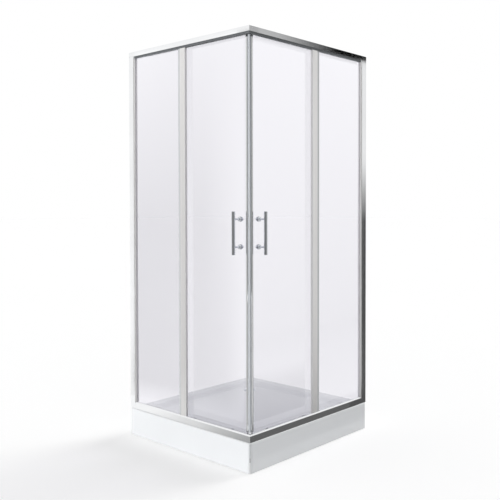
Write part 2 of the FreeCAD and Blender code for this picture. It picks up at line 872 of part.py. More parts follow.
def make_fixed_pane():
    """Fixed glass with its gaskets, setting blocks and the post on its free edge."""
    foot = sill_web_top + s.setting_block_height
    head = rail_web_under - s.pane_top_gap
    pane = side_body("right_fixed_pane")
    pad(pane, FACE, pane_in, pane_back_in, rectangle(pane_along, foot, pane_end_along, head))
    keep_pair("fixed_pane", pane)

    lips = []
    for name, near, far, low, high in (
        ("pane_lip_top", pane_back_in, divider_in, pocket_under, pocket_under + s.gasket_height),
        ("pane_lip_outer", sill_pocket_in, pane_in, sill_top - s.gasket_height, sill_top),
        (
            "pane_lip_inner",
            pane_back_in,
            divider_in,
            s.tray_height + s.sill_divider_height - s.gasket_height,
            s.tray_height + s.sill_divider_height,
        ),
    ):
        lip = side_body(name)
        pad(lip, SECTION, post_end_along, adjuster_along, rectangle(near, low, far, high))
        lips.append(lip)
    first = post_end_along + s.setting_block_inset
    last = adjuster_along - s.setting_block_inset - s.setting_block_length
    for number, along in enumerate((first, last)):
        block = side_body(f"setting_block_{number}")
        end = along + s.setting_block_length
        pad(block, SECTION, along, end, rectangle(sill_pocket_in, sill_web_top, divider_in, foot))
        lips.append(block)
    keep_both_sides("fixed_pane_gaskets", lips)

    post = side_body("right_pane_post")
    front = pane_in - s.post_cheek
    back = pane_back_in + s.post_cheek
    section = [
        (s.post_place, front),
        (post_end_along, front),
        (post_end_along, pane_in),
        (pane_along, pane_in),
        (pane_along, pane_back_in),
        (post_end_along, pane_back_in),
        (post_end_along, back),
        (s.post_place, back),
    ]
    pad(post, PLAN, sill_top, pocket_under, section)

    def outer_edge(edge):
        return runs_along(edge, 2) and (lies_at(edge, 1, front) or lies_at(edge, 1, back))

    round_edges(post, s.post_edge_radius, outer_edge)
    keep_pair("pane_post", post)


def make_stile(name, along, end, web_in_front):
    """A door's edge profile: a web on one edge of the glass, two cheeks, and in front a mitred nose."""
    body = side_body(name)
    web = door_along if web_in_front else door_end_along
    closed = along if web_in_front else end
    closed_back = along + s.stile_depth if web_in_front else end
    mouth = end if web_in_front else along
    section = [
        (closed, stile_in),
        (mouth, stile_in),
        (mouth, door_in),
        (web, door_in),
        (web, door_back_in),
        (mouth, door_back_in),
        (mouth, stile_back_in),
        (closed_back, stile_back_in),
    ]
    pad(body, PLAN, stile_foot, stile_head, section)

    def mouth_edge(edge):
        outer = lies_at(edge, 1, stile_in) or lies_at(edge, 1, stile_back_in)
        return runs_along(edge, 2) and lies_at(edge, 0, mouth) and outer

    def nose_edge(edge):
        return runs_along(edge, 2) and lies_at(edge, 0, closed) and lies_at(edge, 1, stile_in)

    round_edges(body, s.stile_edge_radius, mouth_edge)
    if web_in_front:
        round_edges(body, s.stile_nose_radius, nose_edge)
    return body


def make_door():
    """Door glass with its holes, edge profiles and seals."""
    glass = side_body("right_door_glass")
    hanger_hole = s.hanger_bush_radius + s.fit_gap
    bolt_hole = s.bracket_bolt_radius + s.fit_gap
    grip_hole = s.stud_radius + s.handle_hole_gap
    holes = [Circle(along, top_axle_up, hanger_hole) for along in roller_places]
    holes += [Circle(along, bracket_hole_up, bolt_hole) for along in roller_places]
    holes += [Circle(s.handle_place, up, grip_hole) for up in handle_holes_up]
    sheet = rectangle(door_along, door_foot, door_end_along, door_head)
    pad(glass, FACE, door_in, door_back_in, sheet, *holes)
    keep_pair("door_glass", glass)

    front_end = s.front_stile_place + s.front_stile_width
    rear_end = s.rear_stile_place + s.rear_stile_width
    front = make_stile("right_front_stile", s.front_stile_place, front_end, True)
    keep_pair("front_stile", front)
    rear = make_stile("right_rear_stile", s.rear_stile_place, rear_end, False)
    keep_pair("rear_stile", rear)

    magnet = side_body("right_magnet_seal")
    meeting = [
        (stile_in + diagonal_gap, stile_in),
        (stile_back_in + diagonal_gap, stile_back_in),
        (s.front_stile_place + s.stile_depth, stile_back_in),
        (s.front_stile_place, stile_in),
    ]
    pad(magnet, PLAN, stile_foot, stile_head, meeting)
    keep_pair("magnet_seal", magnet)

    lip = side_body("right_lip_seal")
    base = s.rear_stile_place + s.lip_seal_inset
    middle = base + s.lip_seal_base / 2
    tip_in = pane_back_in + s.lip_seal_gap
    fin = [
        (base, stile_in),
        (base + s.lip_seal_base, stile_in),
        (middle + s.lip_seal_tip / 2, tip_in),
        (middle - s.lip_seal_tip / 2, tip_in),
    ]
    pad(lip, PLAN, stile_foot, least(stile_head, pocket_under - s.running_gap), fin)
    keep_pair("lip_seal", lip)

    drip = side_body("right_drip_seal")
    near = door_in - s.drip_seal_wall
    far = door_back_in + s.drip_seal_wall
    centre = door_in + s.glass_thickness / 2
    cheek_top = door_foot + s.drip_seal_cheek
    body_foot = door_foot - s.drip_seal_body
    fin_foot = body_foot - s.drip_seal_fin
    section = [
        (near, cheek_top),
        (door_in, cheek_top),
        (door_in, door_foot),
        (door_back_in, door_foot),
        (door_back_in, cheek_top),
        (far, cheek_top),
        (far, body_foot),
        (centre + s.drip_seal_wall / 2, fin_foot),
        (centre - s.drip_seal_wall / 2, fin_foot),
        (near, body_foot),
    ]
    pad(drip, SECTION, door_along, door_end_along, section)
    keep_pair("drip_seal", drip)


def make_wheel(name, along, up, rolling_radius):
    """A nylon roller with a groove that runs over the track's bead."""
    body = side_body(f"right_{name}", along, ZERO, up)
    bore = s.axle_radius + s.fit_gap
    rim = rolling_radius + s.bead_height
    near = wheel_in + s.wheel_flange
    far = wheel_back_in - s.wheel_flange
    revolve(
        body,
        PLAN,
        [
            (bore, wheel_in),
            (rim, wheel_in),
            (rim, near),
            (rolling_radius, near),
            (rolling_radius, far),
            (rim, far),
            (rim, wheel_back_in),
            (bore, wheel_back_in),
        ],
    )
    keep_pair(name, body)


def make_rollers():
    """Hangers at the door's head, brackets at its foot, their screws and the wheels."""
    hangers = []
    brackets = []
    screws = []
    for place, along in zip(("front", "rear"), roller_places):
        hangers.append(make_hanger(f"hanger_{place}", along))
        screws.append(make_hanger_screw(f"hanger_screw_{place}", along))
        brackets.append(make_bracket(f"bracket_{place}", along))
        screws.append(make_bracket_bolt(f"bracket_bolt_{place}", along))
        make_wheel(f"{place}_top_wheel", along, top_axle_up, s.top_wheel_radius)
        make_wheel(f"{place}_bottom_wheel", along, bottom_axle_up, s.bottom_wheel_radius)
    keep_pair("top_hangers", group("right_top_hangers", hangers))
    keep_pair("bottom_brackets", group("right_bottom_brackets", brackets))
    keep_pair("roller_screws", group("right_roller_screws", screws))


def make_hanger(name, along):
    """Sleeve against the glass, wheel axle and end cap, turned from one bar."""
    body = side_body(name, along, ZERO, top_axle_up)
    bore = s.hanger_screw_radius + s.fit_gap
    bore_end = door_back_in + s.hanger_bore_depth
    revolve(
        body,
        PLAN,
        [
            (bore, door_back_in),
            (s.hanger_sleeve_radius, door_back_in),
            (s.hanger_sleeve_radius, sleeve_end_in),
            (s.axle_radius, sleeve_end_in),
            (s.axle_radius, cap_in),
            (s.axle_cap_radius, cap_in),
            (s.axle_cap_radius, cap_end_in),
            (ZERO, cap_end_in),
            (ZERO, bore_end),
            (bore, bore_end),
        ],
    )
    return body


def make_hanger_screw(name, along):
    """Flat head outside the glass, bush in its hole and thread into the hanger."""
    body = side_body(name, along, ZERO, top_axle_up)
    head = door_in - s.hanger_head_height
    tip = door_back_in + s.hanger_bore_depth - s.side_play
    revolve(
        body,
        PLAN,
        [
            (ZERO, head),
            (s.hanger_head_radius - s.screw_head_chamfer, head),
            (s.hanger_head_radius, head + s.screw_head_chamfer),
            (s.hanger_head_radius, door_in),
            (s.hanger_bush_radius, door_in),
            (s.hanger_bush_radius, door_back_in),
            (s.hanger_screw_radius, door_back_in),
            (s.hanger_screw_radius, tip),
            (ZERO, tip),
        ],
    )
    return body


def make_bracket(name, along):
    """Plate that reaches down past the seal, with its boss on the glass and the wheel's axle."""
    body = side_body(name, along - s.bracket_width / 2)
    middle = s.bracket_width / 2
    plate_in = door_back_in + s.bracket_stand_off
    plate_back_in = plate_in + s.bracket_thickness
    low = bottom_axle_up - s.bracket_foot
    high = bracket_hole_up + s.bracket_head
    bolt_hole = Circle(middle, bracket_hole_up, s.bracket_bolt_radius + s.fit_gap)
    pad(body, FACE, plate_in, plate_back_in, rectangle(ZERO, low, s.bracket_width, high))
    round_edges(body, s.bracket_corner_radius, lambda edge: runs_along(edge, 1))
    boss = Circle(middle, bracket_hole_up, s.bracket_bolt_head_radius)
    pad(body, FACE, door_back_in, plate_in, boss)
    axle = Circle(middle, bottom_axle_up, s.axle_radius)
    pad(body, FACE, plate_back_in, cap_in, axle)
    shoulder = Circle(middle, bottom_axle_up, s.axle_cap_radius)
    pad(body, FACE, plate_back_in, sleeve_end_in, shoulder)
    cap = Circle(middle, bottom_axle_up, s.axle_cap_radius)
    pad(body, FACE, cap_in, cap_end_in, cap)
    pocket(body, FACE, door_back_in - s.cut_overrun, plate_back_in + s.cut_overrun, bolt_hole)
    return body


def make_bracket_bolt(name, along):
    """Low-head bolt through the glass and the bracket's boss."""
    body = side_body(name, along, ZERO, bracket_hole_up)
    head = door_in - s.bracket_bolt_head_height
    tip = door_back_in + s.bracket_stand_off + s.bracket_thickness
    revolve(
        body,
        PLAN,
        [
            (ZERO, head),
            (s.bracket_bolt_head_radius - s.screw_head_chamfer, head),
            (s.bracket_bolt_head_radius, head + s.screw_head_chamfer),
            (s.bracket_bolt_head_radius, door_in),
            (s.bracket_bolt_radius, door_in),
            (s.bracket_bolt_radius, tip),
            (ZERO, tip),
        ],
    )
    return body


def make_bumpers():
    """Rubber stops in the top rail, ahead of the front wheel and behind the rear one."""
    rim = s.top_wheel_radius + s.bead_height
    front = s.roller_front_place - rim - s.running_gap - s.bumper_length
    rear = roller_places[1] + s.door_travel + rim + s.running_gap
    low = rail_web_under - s.bumper_height
    stops = []
    for name, along in (("bumper_front", front), ("bumper_rear", rear)):
        body = side_body(name)
        near = track_wall_in - s.bumper_depth
        end = along + s.bumper_length
        pad(body, PLAN, low, rail_web_under, rectangle(along, near, end, track_wall_in))

        def inner_upright(edge):
            return runs_along(edge, 2) and lies_at(edge, 1, near)

        round_edges(body, s.bumper_edge_radius, inner_upright)
        stops.append(body)
    keep_both_sides("door_bumpers", stops)


def make_handle():
    """Round bar on two standoffs with rosettes, and the knobs that clamp it from inside."""
    bar_foot = s.handle_height - s.handle_length / 2
    bar = side_body("right_handle_bar", s.handle_place, handle_axis_in, bar_foot)
    radius = s.handle_radius
    length = s.handle_length
    chamfer = s.handle_end_chamfer
    revolve(
        bar,
        FACE,
        [
            (ZERO, ZERO),
            (radius - chamfer, ZERO),
            (radius, chamfer),
            (radius, length - chamfer),
            (radius - chamfer, length),
            (ZERO, length),
        ],
    )
    socket = s.standoff_radius + s.fit_gap
    sockets = [Circle(ZERO, up - bar_foot, socket) for up in handle_holes_up]
    pocket(bar, FACE, ZERO, radius + s.cut_overrun, *sockets)
    keep_pair("handle_bar", bar)

    standoffs = []
    knobs = []
    reach = s.handle_reach
    collar = reach - s.rosette_thickness
    clamp = reach + s.glass_thickness
    stud_bore = s.stud_radius + s.fit_gap
    rounding = least(s.rosette_round, s.rosette_radius - s.standoff_radius - s.fit_gap)
    for number, up in enumerate(handle_holes_up):
        standoff = side_body(f"standoff_{number}", s.handle_place, handle_axis_in, up)
        revolve(
            standoff,
            PLAN,
            [
                (ZERO, ZERO),
                (s.standoff_radius, ZERO),
                (s.standoff_radius, collar),
                (s.rosette_radius, collar),
                (s.rosette_radius, reach),
                (s.stud_radius, reach),
                (s.stud_radius, reach + s.stud_length),
                (ZERO, reach + s.stud_length),
            ],
        )
        round_edges(standoff, rounding, lambda edge: rims(edge, s.rosette_radius, collar))
        standoffs.append(standoff)
        knob = side_body(f"knob_{number}", s.handle_place, handle_axis_in, up)
        crown = clamp + s.knob_height
        revolve(
            knob,
            PLAN,
            [
                (stud_bore, clamp),
                (s.knob_radius, clamp),
                (s.knob_radius, crown),
                (ZERO, crown),
                (ZERO, clamp + s.knob_bore_depth),
                (stud_bore, clamp + s.knob_bore_depth),
            ],
        )
        round_edges(knob, s.knob_round, lambda edge: rims(edge, s.knob_radius, crown))
        knobs.append(knob)
    keep_pair("handle_standoffs", group("right_handle_standoffs", standoffs))
    keep_pair("handle_knobs", group("right_handle_knobs", knobs))


def check_document():
    """Stop if any object failed or any sub-part's shape is missing or broken."""
    doc.recompute()
    failed = [o.Name for o in doc.Objects if "Invalid" in o.State or "Error" in o.State]
    broken = [name for name, node in nodes.items() if node.Shape.isNull() or not node.Shape.isValid()]
    if failed or broken:
        raise RuntimeError(f"failed objects {failed}, broken shapes {broken}")


def write_parts():
    """Write each sub-part's solids to a file of its own name."""
    os.makedirs("parts", exist_ok=True)
    for name, node in nodes.items():
        node.Shape.exportStep(os.path.join("parts", f"{name}.step"))


make_tray()
make_base()
make_waste()
make_rails()
make_cleats()
make_wall_profiles()
make_fixed_pane()
make_door()
make_rollers()
make_bumpers()
make_handle()
check_document()
write_parts()
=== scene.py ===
"""Corner-entry shower enclosure: finishes, turned fittings, seals and a pale studio."""
import math

import bmesh
import bpy
from mathutils import Matrix, Vector


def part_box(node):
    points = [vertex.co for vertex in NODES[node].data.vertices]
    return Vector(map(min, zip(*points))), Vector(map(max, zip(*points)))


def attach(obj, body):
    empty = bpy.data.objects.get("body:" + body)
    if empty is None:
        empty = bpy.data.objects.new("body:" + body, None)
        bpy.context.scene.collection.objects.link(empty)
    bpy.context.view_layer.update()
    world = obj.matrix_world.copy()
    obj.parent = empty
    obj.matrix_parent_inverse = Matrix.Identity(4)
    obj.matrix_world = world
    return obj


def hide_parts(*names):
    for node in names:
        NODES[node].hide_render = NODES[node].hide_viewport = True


bl_info = {
    "name": "Corner-entry shower enclosure",
    "version": (1, 0, 0),
    "blender": (4, 5, 0),
    "location": "View3D > Sidebar > Shower",
    "description": "Dresses the corner-entry shower enclosure and sets it on a studio floor",
    "category": "Object",
}

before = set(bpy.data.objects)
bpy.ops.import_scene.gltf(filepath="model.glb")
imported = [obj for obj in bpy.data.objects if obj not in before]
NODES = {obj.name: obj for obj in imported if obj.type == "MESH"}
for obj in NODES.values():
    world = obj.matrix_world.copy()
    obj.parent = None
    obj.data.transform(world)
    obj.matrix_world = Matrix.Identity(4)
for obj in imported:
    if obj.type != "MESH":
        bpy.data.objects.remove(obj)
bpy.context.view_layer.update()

MM = 0.001
SIDES = ("left", "right")
ALONG_X = 0
ALONG_Y = 1
ALONG_Z = 2
WHITE = (1, 1, 1, 1)

NOISE = "ShaderNodeTexNoise"
CELLS = "ShaderNodeTexVoronoi"

SMOOTH_ANGLE = math.radians(34)
BROKEN_EDGE_ANGLE = math.radians(50)
SECTION_EDGE_ANGLE = math.radians(20)
TURNED_EDGE_ANGLE = math.radians(35)
JOIN_GAP = 0.005 * MM
SPIN_GAP = 0.001 * MM
SAME_PLACE = 0.01 * MM
BAR_STEPS = 48
CROWN_STEPS = 40

SENSOR_WIDTH_MM = 36.0
FARTHEST_SEEN = 200.0
LAMP_ANGLE = math.radians(35)
FLOOR_HALF_SIDE = 60.0
FLOOR_DARK = "EDEDED"
FLOOR_LIGHT = "F1F1F1"
FLAG_CUTS = 7
# Planes in which the flags for each glazed side stand.
RIGHT_FLAGS_X = 2.719
LEFT_FLAGS_Y = -2.7215
# Flags on the floor lie in layers, so that one covers another.
SILL_FLAG_UP = 3 * MM
PANE_FLAG_UP = 4 * MM
METAL_FLAG_UP = 5 * MM
FRONT_FLAG_UP = 6 * MM


class ShowerFinishes(bpy.types.PropertyGroup):
    """Colours of the enclosure's materials, as sRGB hex values."""

    acrylic: bpy.props.StringProperty(
        name="Tray acrylic", description="White of the sanitary acrylic tray", default="ECEEF0")
    bright_metal: bpy.props.StringProperty(
        name="Bright aluminium", description="Polished and anodised rails, channels and front stiles",
        default="F2F3F4")
    satin_metal: bpy.props.StringProperty(
        name="Satin aluminium", description="Satin anodised posts, adjusters and rear stiles",
        default="F1F0EF")
    chrome: bpy.props.StringProperty(
        name="Chrome", description="Chrome plate of the handles and the waste", default="DEE1E5")
    zinc: bpy.props.StringProperty(
        name="Zinc", description="Zinc plate of the screws, hangers and brackets", default="B4B9BE")
    glass: bpy.props.StringProperty(
        name="Glass", description="Body tint of the clear toughened glass", default="F2F1F6")
    seal: bpy.props.StringProperty(
        name="Seal vinyl", description="Translucent vinyl of the door seals", default="D2D6DA")
    # The strip is a real part, but its dark grey is also painted shade: it stands for the shade under the
    # top rail.
    strip: bpy.props.StringProperty(
        name="Strip vinyl", description="Grey vinyl strip under the top rail", default="606366")
    bead: bpy.props.StringProperty(
        name="Bead vinyl", description="Light grey vinyl bead beside the posts", default="C4C6C8")
    rubber: bpy.props.StringProperty(
        name="Bumper rubber", description="Black rubber of the door bumpers", default="1D1D1E")
    nylon: bpy.props.StringProperty(
        name="Roller nylon", description="Natural nylon of the rollers", default="E6E5DF")
    board: bpy.props.StringProperty(
        name="Chipboard", description="Chipboard under the tray", default="B7986A")
    waste: bpy.props.StringProperty(
        name="Waste plastic", description="White polypropylene of the waste trap", default="DADCDD")
    feet: bpy.props.StringProperty(
        name="Foot plastic", description="Dark polypropylene of the levelling feet", default="2B2C2E")


def length(name, description, size_mm):
    """A length that the user may change, with its default in millimetres."""
    return bpy.props.FloatProperty(
        name=name, description=description, default=size_mm * MM, min=0.0, unit="LENGTH")


class ShowerSizes(bpy.types.PropertyGroup):
    """Sizes of the edges and fittings that are finished here."""

    edge_round: length("Edge rounding", "Broken edge on extrusions and plates", 0.5)
    glass_arris: length("Glass arris", "Ground edge of the toughened panes", 0.6)
    bar_end_round: length("Bar end rounding", "Rounding at the ends of the handle bars", 1.6)
    crown_round: length("Crown rounding", "Rounded crown of the rosettes and the inside knobs", 5.0)
    stem_radius: length("Stem radius", "Radius of the handle's standoff stems", 5.0)
    stud_radius: length("Stud radius", "Radius of the studs through the glass", 4.0)
    rosette_height: length("Rosette height", "Height of the rosettes on the glass", 8.0)
    vinyl_round: length("Vinyl rounding", "Rounded edges of the drawn vinyl sections", 0.4)
    vinyl_wall: length("Vinyl wall", "Wall thickness of the drawn vinyl sections", 1.5)
    seal_groove: length("Seal groove", "Depth of the groove that lets the meeting seals flex", 0.9)
    lip_blade: length("Lip blade", "Thickness of the lip seal's blade", 1.0)
    strip_recess: length("Strip recess", "How far the grey strip stands behind the top rail's face", 3.0)
    strip_grip: length("Strip grip", "Height of the strip that is held inside the top rail", 11.0)
    gasket_thickness: length("Gasket thickness", "Thickness of the fixed pane's gaskets", 1.0)
    gasket_height: length("Gasket height", "Height of the fixed pane's gaskets", 20.0)
    gasket_step: length("Gasket step", "How much lower the inner gasket ends than the outer one", 4.0)
    bead_width: length("Bead width", "Width of the bead between the posts and the fixed panes", 16.0)
    block_length: length("Setting block length", "Length of the blocks under the fixed panes", 40.0)
    block_height: length("Setting block height", "Height of the blocks under the fixed panes", 4.0)
    block_inset: length("Setting block inset", "Distance of the blocks from the ends of the pane", 60.0)
    bumper_length: length("Bumper length", "Length of the door bumpers", 15.0)
    bumper_gap: length("Bumper gap", "Gap between a roller and its bumper at the end of its run", 1.0)
    bumper_depth: length("Bumper depth", "Depth of the door bumpers in the top rail", 9.0)
    bumper_wall: length("Bumper wall", "Wall of the top rail that the bumpers are fixed to", 2.0)
    bumper_round: length("Bumper rounding", "Rounded inner edges of the door bumpers", 2.5)


class ShowerStage(bpy.types.PropertyGroup):
    """Camera and light of the studio."""

    lens: bpy.props.FloatProperty(
        name="Lens", description="Focal length on a 36 mm sensor, in millimetres", default=51.014)
    azimuth: bpy.props.FloatProperty(
        name="Azimuth", description="Turn of the camera from the front face", default=math.radians(40.478),
        subtype="ANGLE")
    dip: bpy.props.FloatProperty(
        name="Dip", description="Downward tilt of the camera", default=math.radians(1.311), subtype="ANGLE")
    shift: bpy.props.FloatVectorProperty(
        name="Shift", description="Lens shift across and up", size=2, default=(-0.10904, -0.055))
    place: bpy.props.FloatVectorProperty(
        name="Place", description="Where the camera stands", size=3, default=(2.6931, -2.6999, 1.2110),
        subtype="TRANSLATION")
    ambient: bpy.props.FloatProperty(
        name="Ambient", description="Strength of the studio's even light", default=0.53)
    key: bpy.props.FloatProperty(
        name="Key", description="Strength of the soft key light", default=1.85)
    key_from: bpy.props.FloatVectorProperty(
        name="Key from", description="Direction that the key light comes from", size=3,
        default=(-0.45, -0.88, 0.14), subtype="DIRECTION")
    back: bpy.props.FloatProperty(
        name="Back light", description="Strength of the soft light from behind", default=1.5)
    back_from: bpy.props.FloatVectorProperty(
        name="Back light from", description="Direction that the back light comes from", size=3,
        default=(0.14, 0.88, 0.45), subtype="DIRECTION")
    floor_glow: bpy.props.FloatProperty(
        name="Floor glow", description="Glow that brings the floor to white for the camera", default=0.278)


def linear(code, share=1.0):
    """An sRGB hex value, made lighter or darker by a share, as linear red, green, blue and alpha."""
    parts = [min(255, round(int(code[i:i + 2], 16) * share)) / 255 for i in (0, 2, 4)]
    return tuple(c / 12.92 if c <= 0.04045 else ((c + 0.055) / 1.055) ** 2.4 for c in parts) + (1.0,)


def add_node(tree, kind, values=None, **settings):
    """Add a node, set its properties, and fill its sockets with values or links."""
    node = tree.nodes.new(kind)
    for name, setting in settings.items():
        setattr(node, name, setting)
    for socket, value in (values or {}).items():
        if isinstance(value, bpy.types.NodeSocket):
            tree.links.new(value, node.inputs[socket])
        else:
            node.inputs[socket].default_value = value
    return node


def start_material(name):
    """A new empty material and its node tree."""
    material = bpy.data.materials.new(name)
    material.use_nodes = True
    material.node_tree.nodes.clear()
    return material, material.node_tree


def object_pattern(tree, kind, sizes_mm, values=None):
    """A texture on object coordinates whose features are this many millimetres across, by axis."""
    place = add_node(tree, "ShaderNodeTexCoord")
    scale = [1 / (size * MM) for size in sizes_mm]
    mapped = add_node(tree, "ShaderNodeMapping", {"Vector": place.outputs["Object"], "Scale": scale})
    return add_node(tree, kind, {"Vector": mapped.outputs["Vector"], "Scale": 1.0, **(values or {})})


def line_sizes(axis, across_mm, length_mm):
    """Feature sizes of a pattern drawn out along one axis."""
    return [length_mm if index == axis else across_mm for index in range(3)]


def grained_finish(name, code, shades, grain, roughness, relief=None, drift=None, sockets=None):
    """A finish whose roughness and relief follow one pattern, and its tone that or a second one."""
    material, tree = start_material(name)
    fine = object_pattern(tree, *grain).outputs[0]
    slow = object_pattern(tree, *drift).outputs[0] if drift else fine
    dark, light = [linear(code, share) for share in shades]
    tone = add_node(tree, "ShaderNodeMix", {0: slow, 6: dark, 7: light}, data_type="RGBA")
    rough = add_node(tree, "ShaderNodeMapRange", {
        "Value": fine, "To Min": roughness[0], "To Max": roughness[1]})
    values = {"Base Color": tone.outputs[2], "Roughness": rough.outputs["Result"], **(sockets or {})}
    if relief:
        depth_mm, strength = relief
        bump = add_node(tree, "ShaderNodeBump", {
            "Height": fine, "Distance": depth_mm * MM, "Strength": strength})
        values["Normal"] = bump.outputs["Normal"]
    body = add_node(tree, "ShaderNodeBsdfPrincipled", values)
    add_node(tree, "ShaderNodeOutputMaterial", {"Surface": body.outputs[0]})
    return material


def bright_aluminium(axis):
    """Bright-dipped, anodised aluminium extrusion."""
    # Mirror-like, with faint die lines along the extrusion. The real 0.2 mm lines are drawn 2 mm apart to
    # show.
    return grained_finish(
        f"bright_anodised_aluminium_{'xyz'[axis]}", finishes().bright_metal, shades=(0.97, 1.02),
        grain=(NOISE, line_sizes(axis, 2.0, 900.0)), roughness=(0.03, 0.09),
        relief=(0.02, 0.15), drift=(NOISE, [160.0] * 3), sockets={"Metallic": 1.0})


def satin_aluminium(axis):
    """Satin-etched, anodised aluminium extrusion."""
    # The etched oxide scatters part of the light: a soft grey without a clear image. Its fine drawn lines,
    # about 0.1 mm in the real metal, are drawn 1.2 mm apart to show.
    return grained_finish(
        f"satin_anodised_aluminium_{'xyz'[axis]}", finishes().satin_metal, shades=(0.94, 1.03),
        grain=(NOISE, line_sizes(axis, 1.2, 500.0), {"Detail": 3.0}), roughness=(0.42, 0.56),
        relief=(0.03, 0.2), sockets={"Metallic": 0.75})


def chrome_plate():
    """Polished brass or zinc casting under bright chrome plate."""
    # Clear dark-and-light reflections with a slightly blue cast and the odd polishing smear.
    return grained_finish(
        "polished_chrome_plate", finishes().chrome, shades=(0.96, 1.02),
        grain=(NOISE, [14.0] * 3, {"Detail": 3.0, "Distortion": 0.6}), roughness=(0.04, 0.11),
        sockets={"Metallic": 1.0})


def zinc_plate():
    """Turned or pressed steel with a bright zinc plate."""
    # Blue-grey and half-dull, slightly patchy where the plating bath drained. The plate's fine grain is
    # drawn 1.5 mm across to show.
    return grained_finish(
        "bright_zinc_plated_steel", finishes().zinc, shades=(0.88, 1.05),
        grain=(NOISE, [1.5] * 3, {"Detail": 3.0}), roughness=(0.28, 0.46), relief=(0.02, 0.25),
        drift=(CELLS, [5.0] * 3), sockets={"Metallic": 1.0})


def clear_glass():
    """Toughened float glass, clear, with ground edges."""
    # Almost invisible face on, with reflections that grow at a slant. Lamps and bounced light pass straight
    # through. The index is above float glass's 1.52, because the enclosure's panes mirror the room more
    # strongly.
    code = finishes().glass
    material, tree = start_material("toughened_float_glass")
    film = object_pattern(tree, NOISE, [120.0] * 3)
    rough = add_node(tree, "ShaderNodeMapRange", {"Value": film.outputs[0], "To Min": 0.0, "To Max": 0.03})
    body = add_node(tree, "ShaderNodeBsdfPrincipled", {
        "Base Color": linear(code),
        "Roughness": rough.outputs["Result"],
        "IOR": 1.62,
        "Transmission Weight": 1.0})
    passing = add_node(tree, "ShaderNodeBsdfTransparent", {"Color": linear(code, 0.95)})
    rays = add_node(tree, "ShaderNodeLightPath")
    soft = add_node(tree, "ShaderNodeMath", {
        0: rays.outputs["Is Shadow Ray"], 1: rays.outputs["Is Diffuse Ray"]}, operation="MAXIMUM")
    shader = add_node(tree, "ShaderNodeMixShader", {
        0: soft.outputs[0], 1: body.outputs[0], 2: passing.outputs[0]})
    add_node(tree, "ShaderNodeOutputMaterial", {"Surface": shader.outputs[0]})
    return material


def sanitary_acrylic():
    """Cast acrylic sheet, vacuum formed over the tray mould."""
    # High gloss over a faint orange peel about 9 mm across, with a very slight unevenness of the white.
    return grained_finish(
        "vacuum_formed_sanitary_acrylic", finishes().acrylic, shades=(0.985, 1.01),
        grain=(NOISE, [9.0] * 3, {"Detail": 1.0}), roughness=(0.12, 0.2), relief=(0.05, 0.12),
        drift=(NOISE, [260.0] * 3), sockets={"IOR": 1.49})


def soft_vinyl(axis):
    """Extruded translucent vinyl."""
    # Milky and half see-through, with die lines along its length, which are drawn 1 mm apart to show.
    return grained_finish(
        f"extruded_translucent_vinyl_{'xyz'[axis]}", finishes().seal, shades=(0.95, 1.02),
        grain=(NOISE, line_sizes(axis, 1.0, 300.0)), roughness=(0.26, 0.4),
        relief=(0.05, 0.3), sockets={"IOR": 1.53, "Transmission Weight": 0.25})


def filled_vinyl(tone, code, axis):
    """Extruded filled vinyl."""
    # Flat grey with a dull sheen and die lines along its length, which are drawn 1 mm apart to show.
    return grained_finish(
        f"extruded_{tone}_vinyl_{'xyz'[axis]}", code, shades=(0.9, 1.08),
        grain=(NOISE, line_sizes(axis, 1.0, 300.0)), roughness=(0.4, 0.55),
        relief=(0.05, 0.3), sockets={"IOR": 1.53})


def moulded_plastic(name, code, roughness, grain_mm):
    """Injection-moulded plastic with a spark-eroded grain."""
    # Even colour broken by a moulded grain that dulls the highlights and is drawn coarser than the real one
    # to show.
    return grained_finish(
        name, code, shades=(0.95, 1.04), grain=(NOISE, [grain_mm] * 3),
        roughness=roughness, relief=(0.06, 0.3), drift=(NOISE, [40.0] * 3),
        sockets={"IOR": 1.5})


def chipboard():
    """Pressed wood-flake board."""
    # Light and dark flakes about 6 mm long in a dull resin surface.
    code = finishes().board
    material, tree = start_material("pressed_chipboard")
    flakes = object_pattern(tree, CELLS, [6.0, 4.0, 3.0])
    chance = add_node(tree, "ShaderNodeSeparateColor", {"Color": flakes.outputs["Color"]})
    tone = add_node(tree, "ShaderNodeMix", {
        0: chance.outputs[0], 6: linear(code, 0.78), 7: linear(code, 1.14)}, data_type="RGBA")
    rough = add_node(tree, "ShaderNodeMapRange", {
        "Value": chance.outputs[1], "To Min": 0.62, "To Max": 0.85})
    bump = add_node(tree, "ShaderNodeBump", {
        "Height": flakes.outputs["Distance"], "Distance": 0.3 * MM, "Strength": 0.4})
    body = add_node(tree, "ShaderNodeBsdfPrincipled", {
        "Base Color": tone.outputs[2],
        "Roughness": rough.outputs["Result"],
        "Normal": bump.outputs["Normal"]})
    add_node(tree, "ShaderNodeOutputMaterial", {"Surface": body.outputs[0]})
    return material


def finishes():
    """The colours that the user may change."""
    return bpy.context.scene.shower_finishes


def sizes():
    """The sizes that the user may change."""
    return bpy.context.scene.shower_sizes


def stage():
    """The studio settings that the user may change."""
    return bpy.context.scene.shower_stage


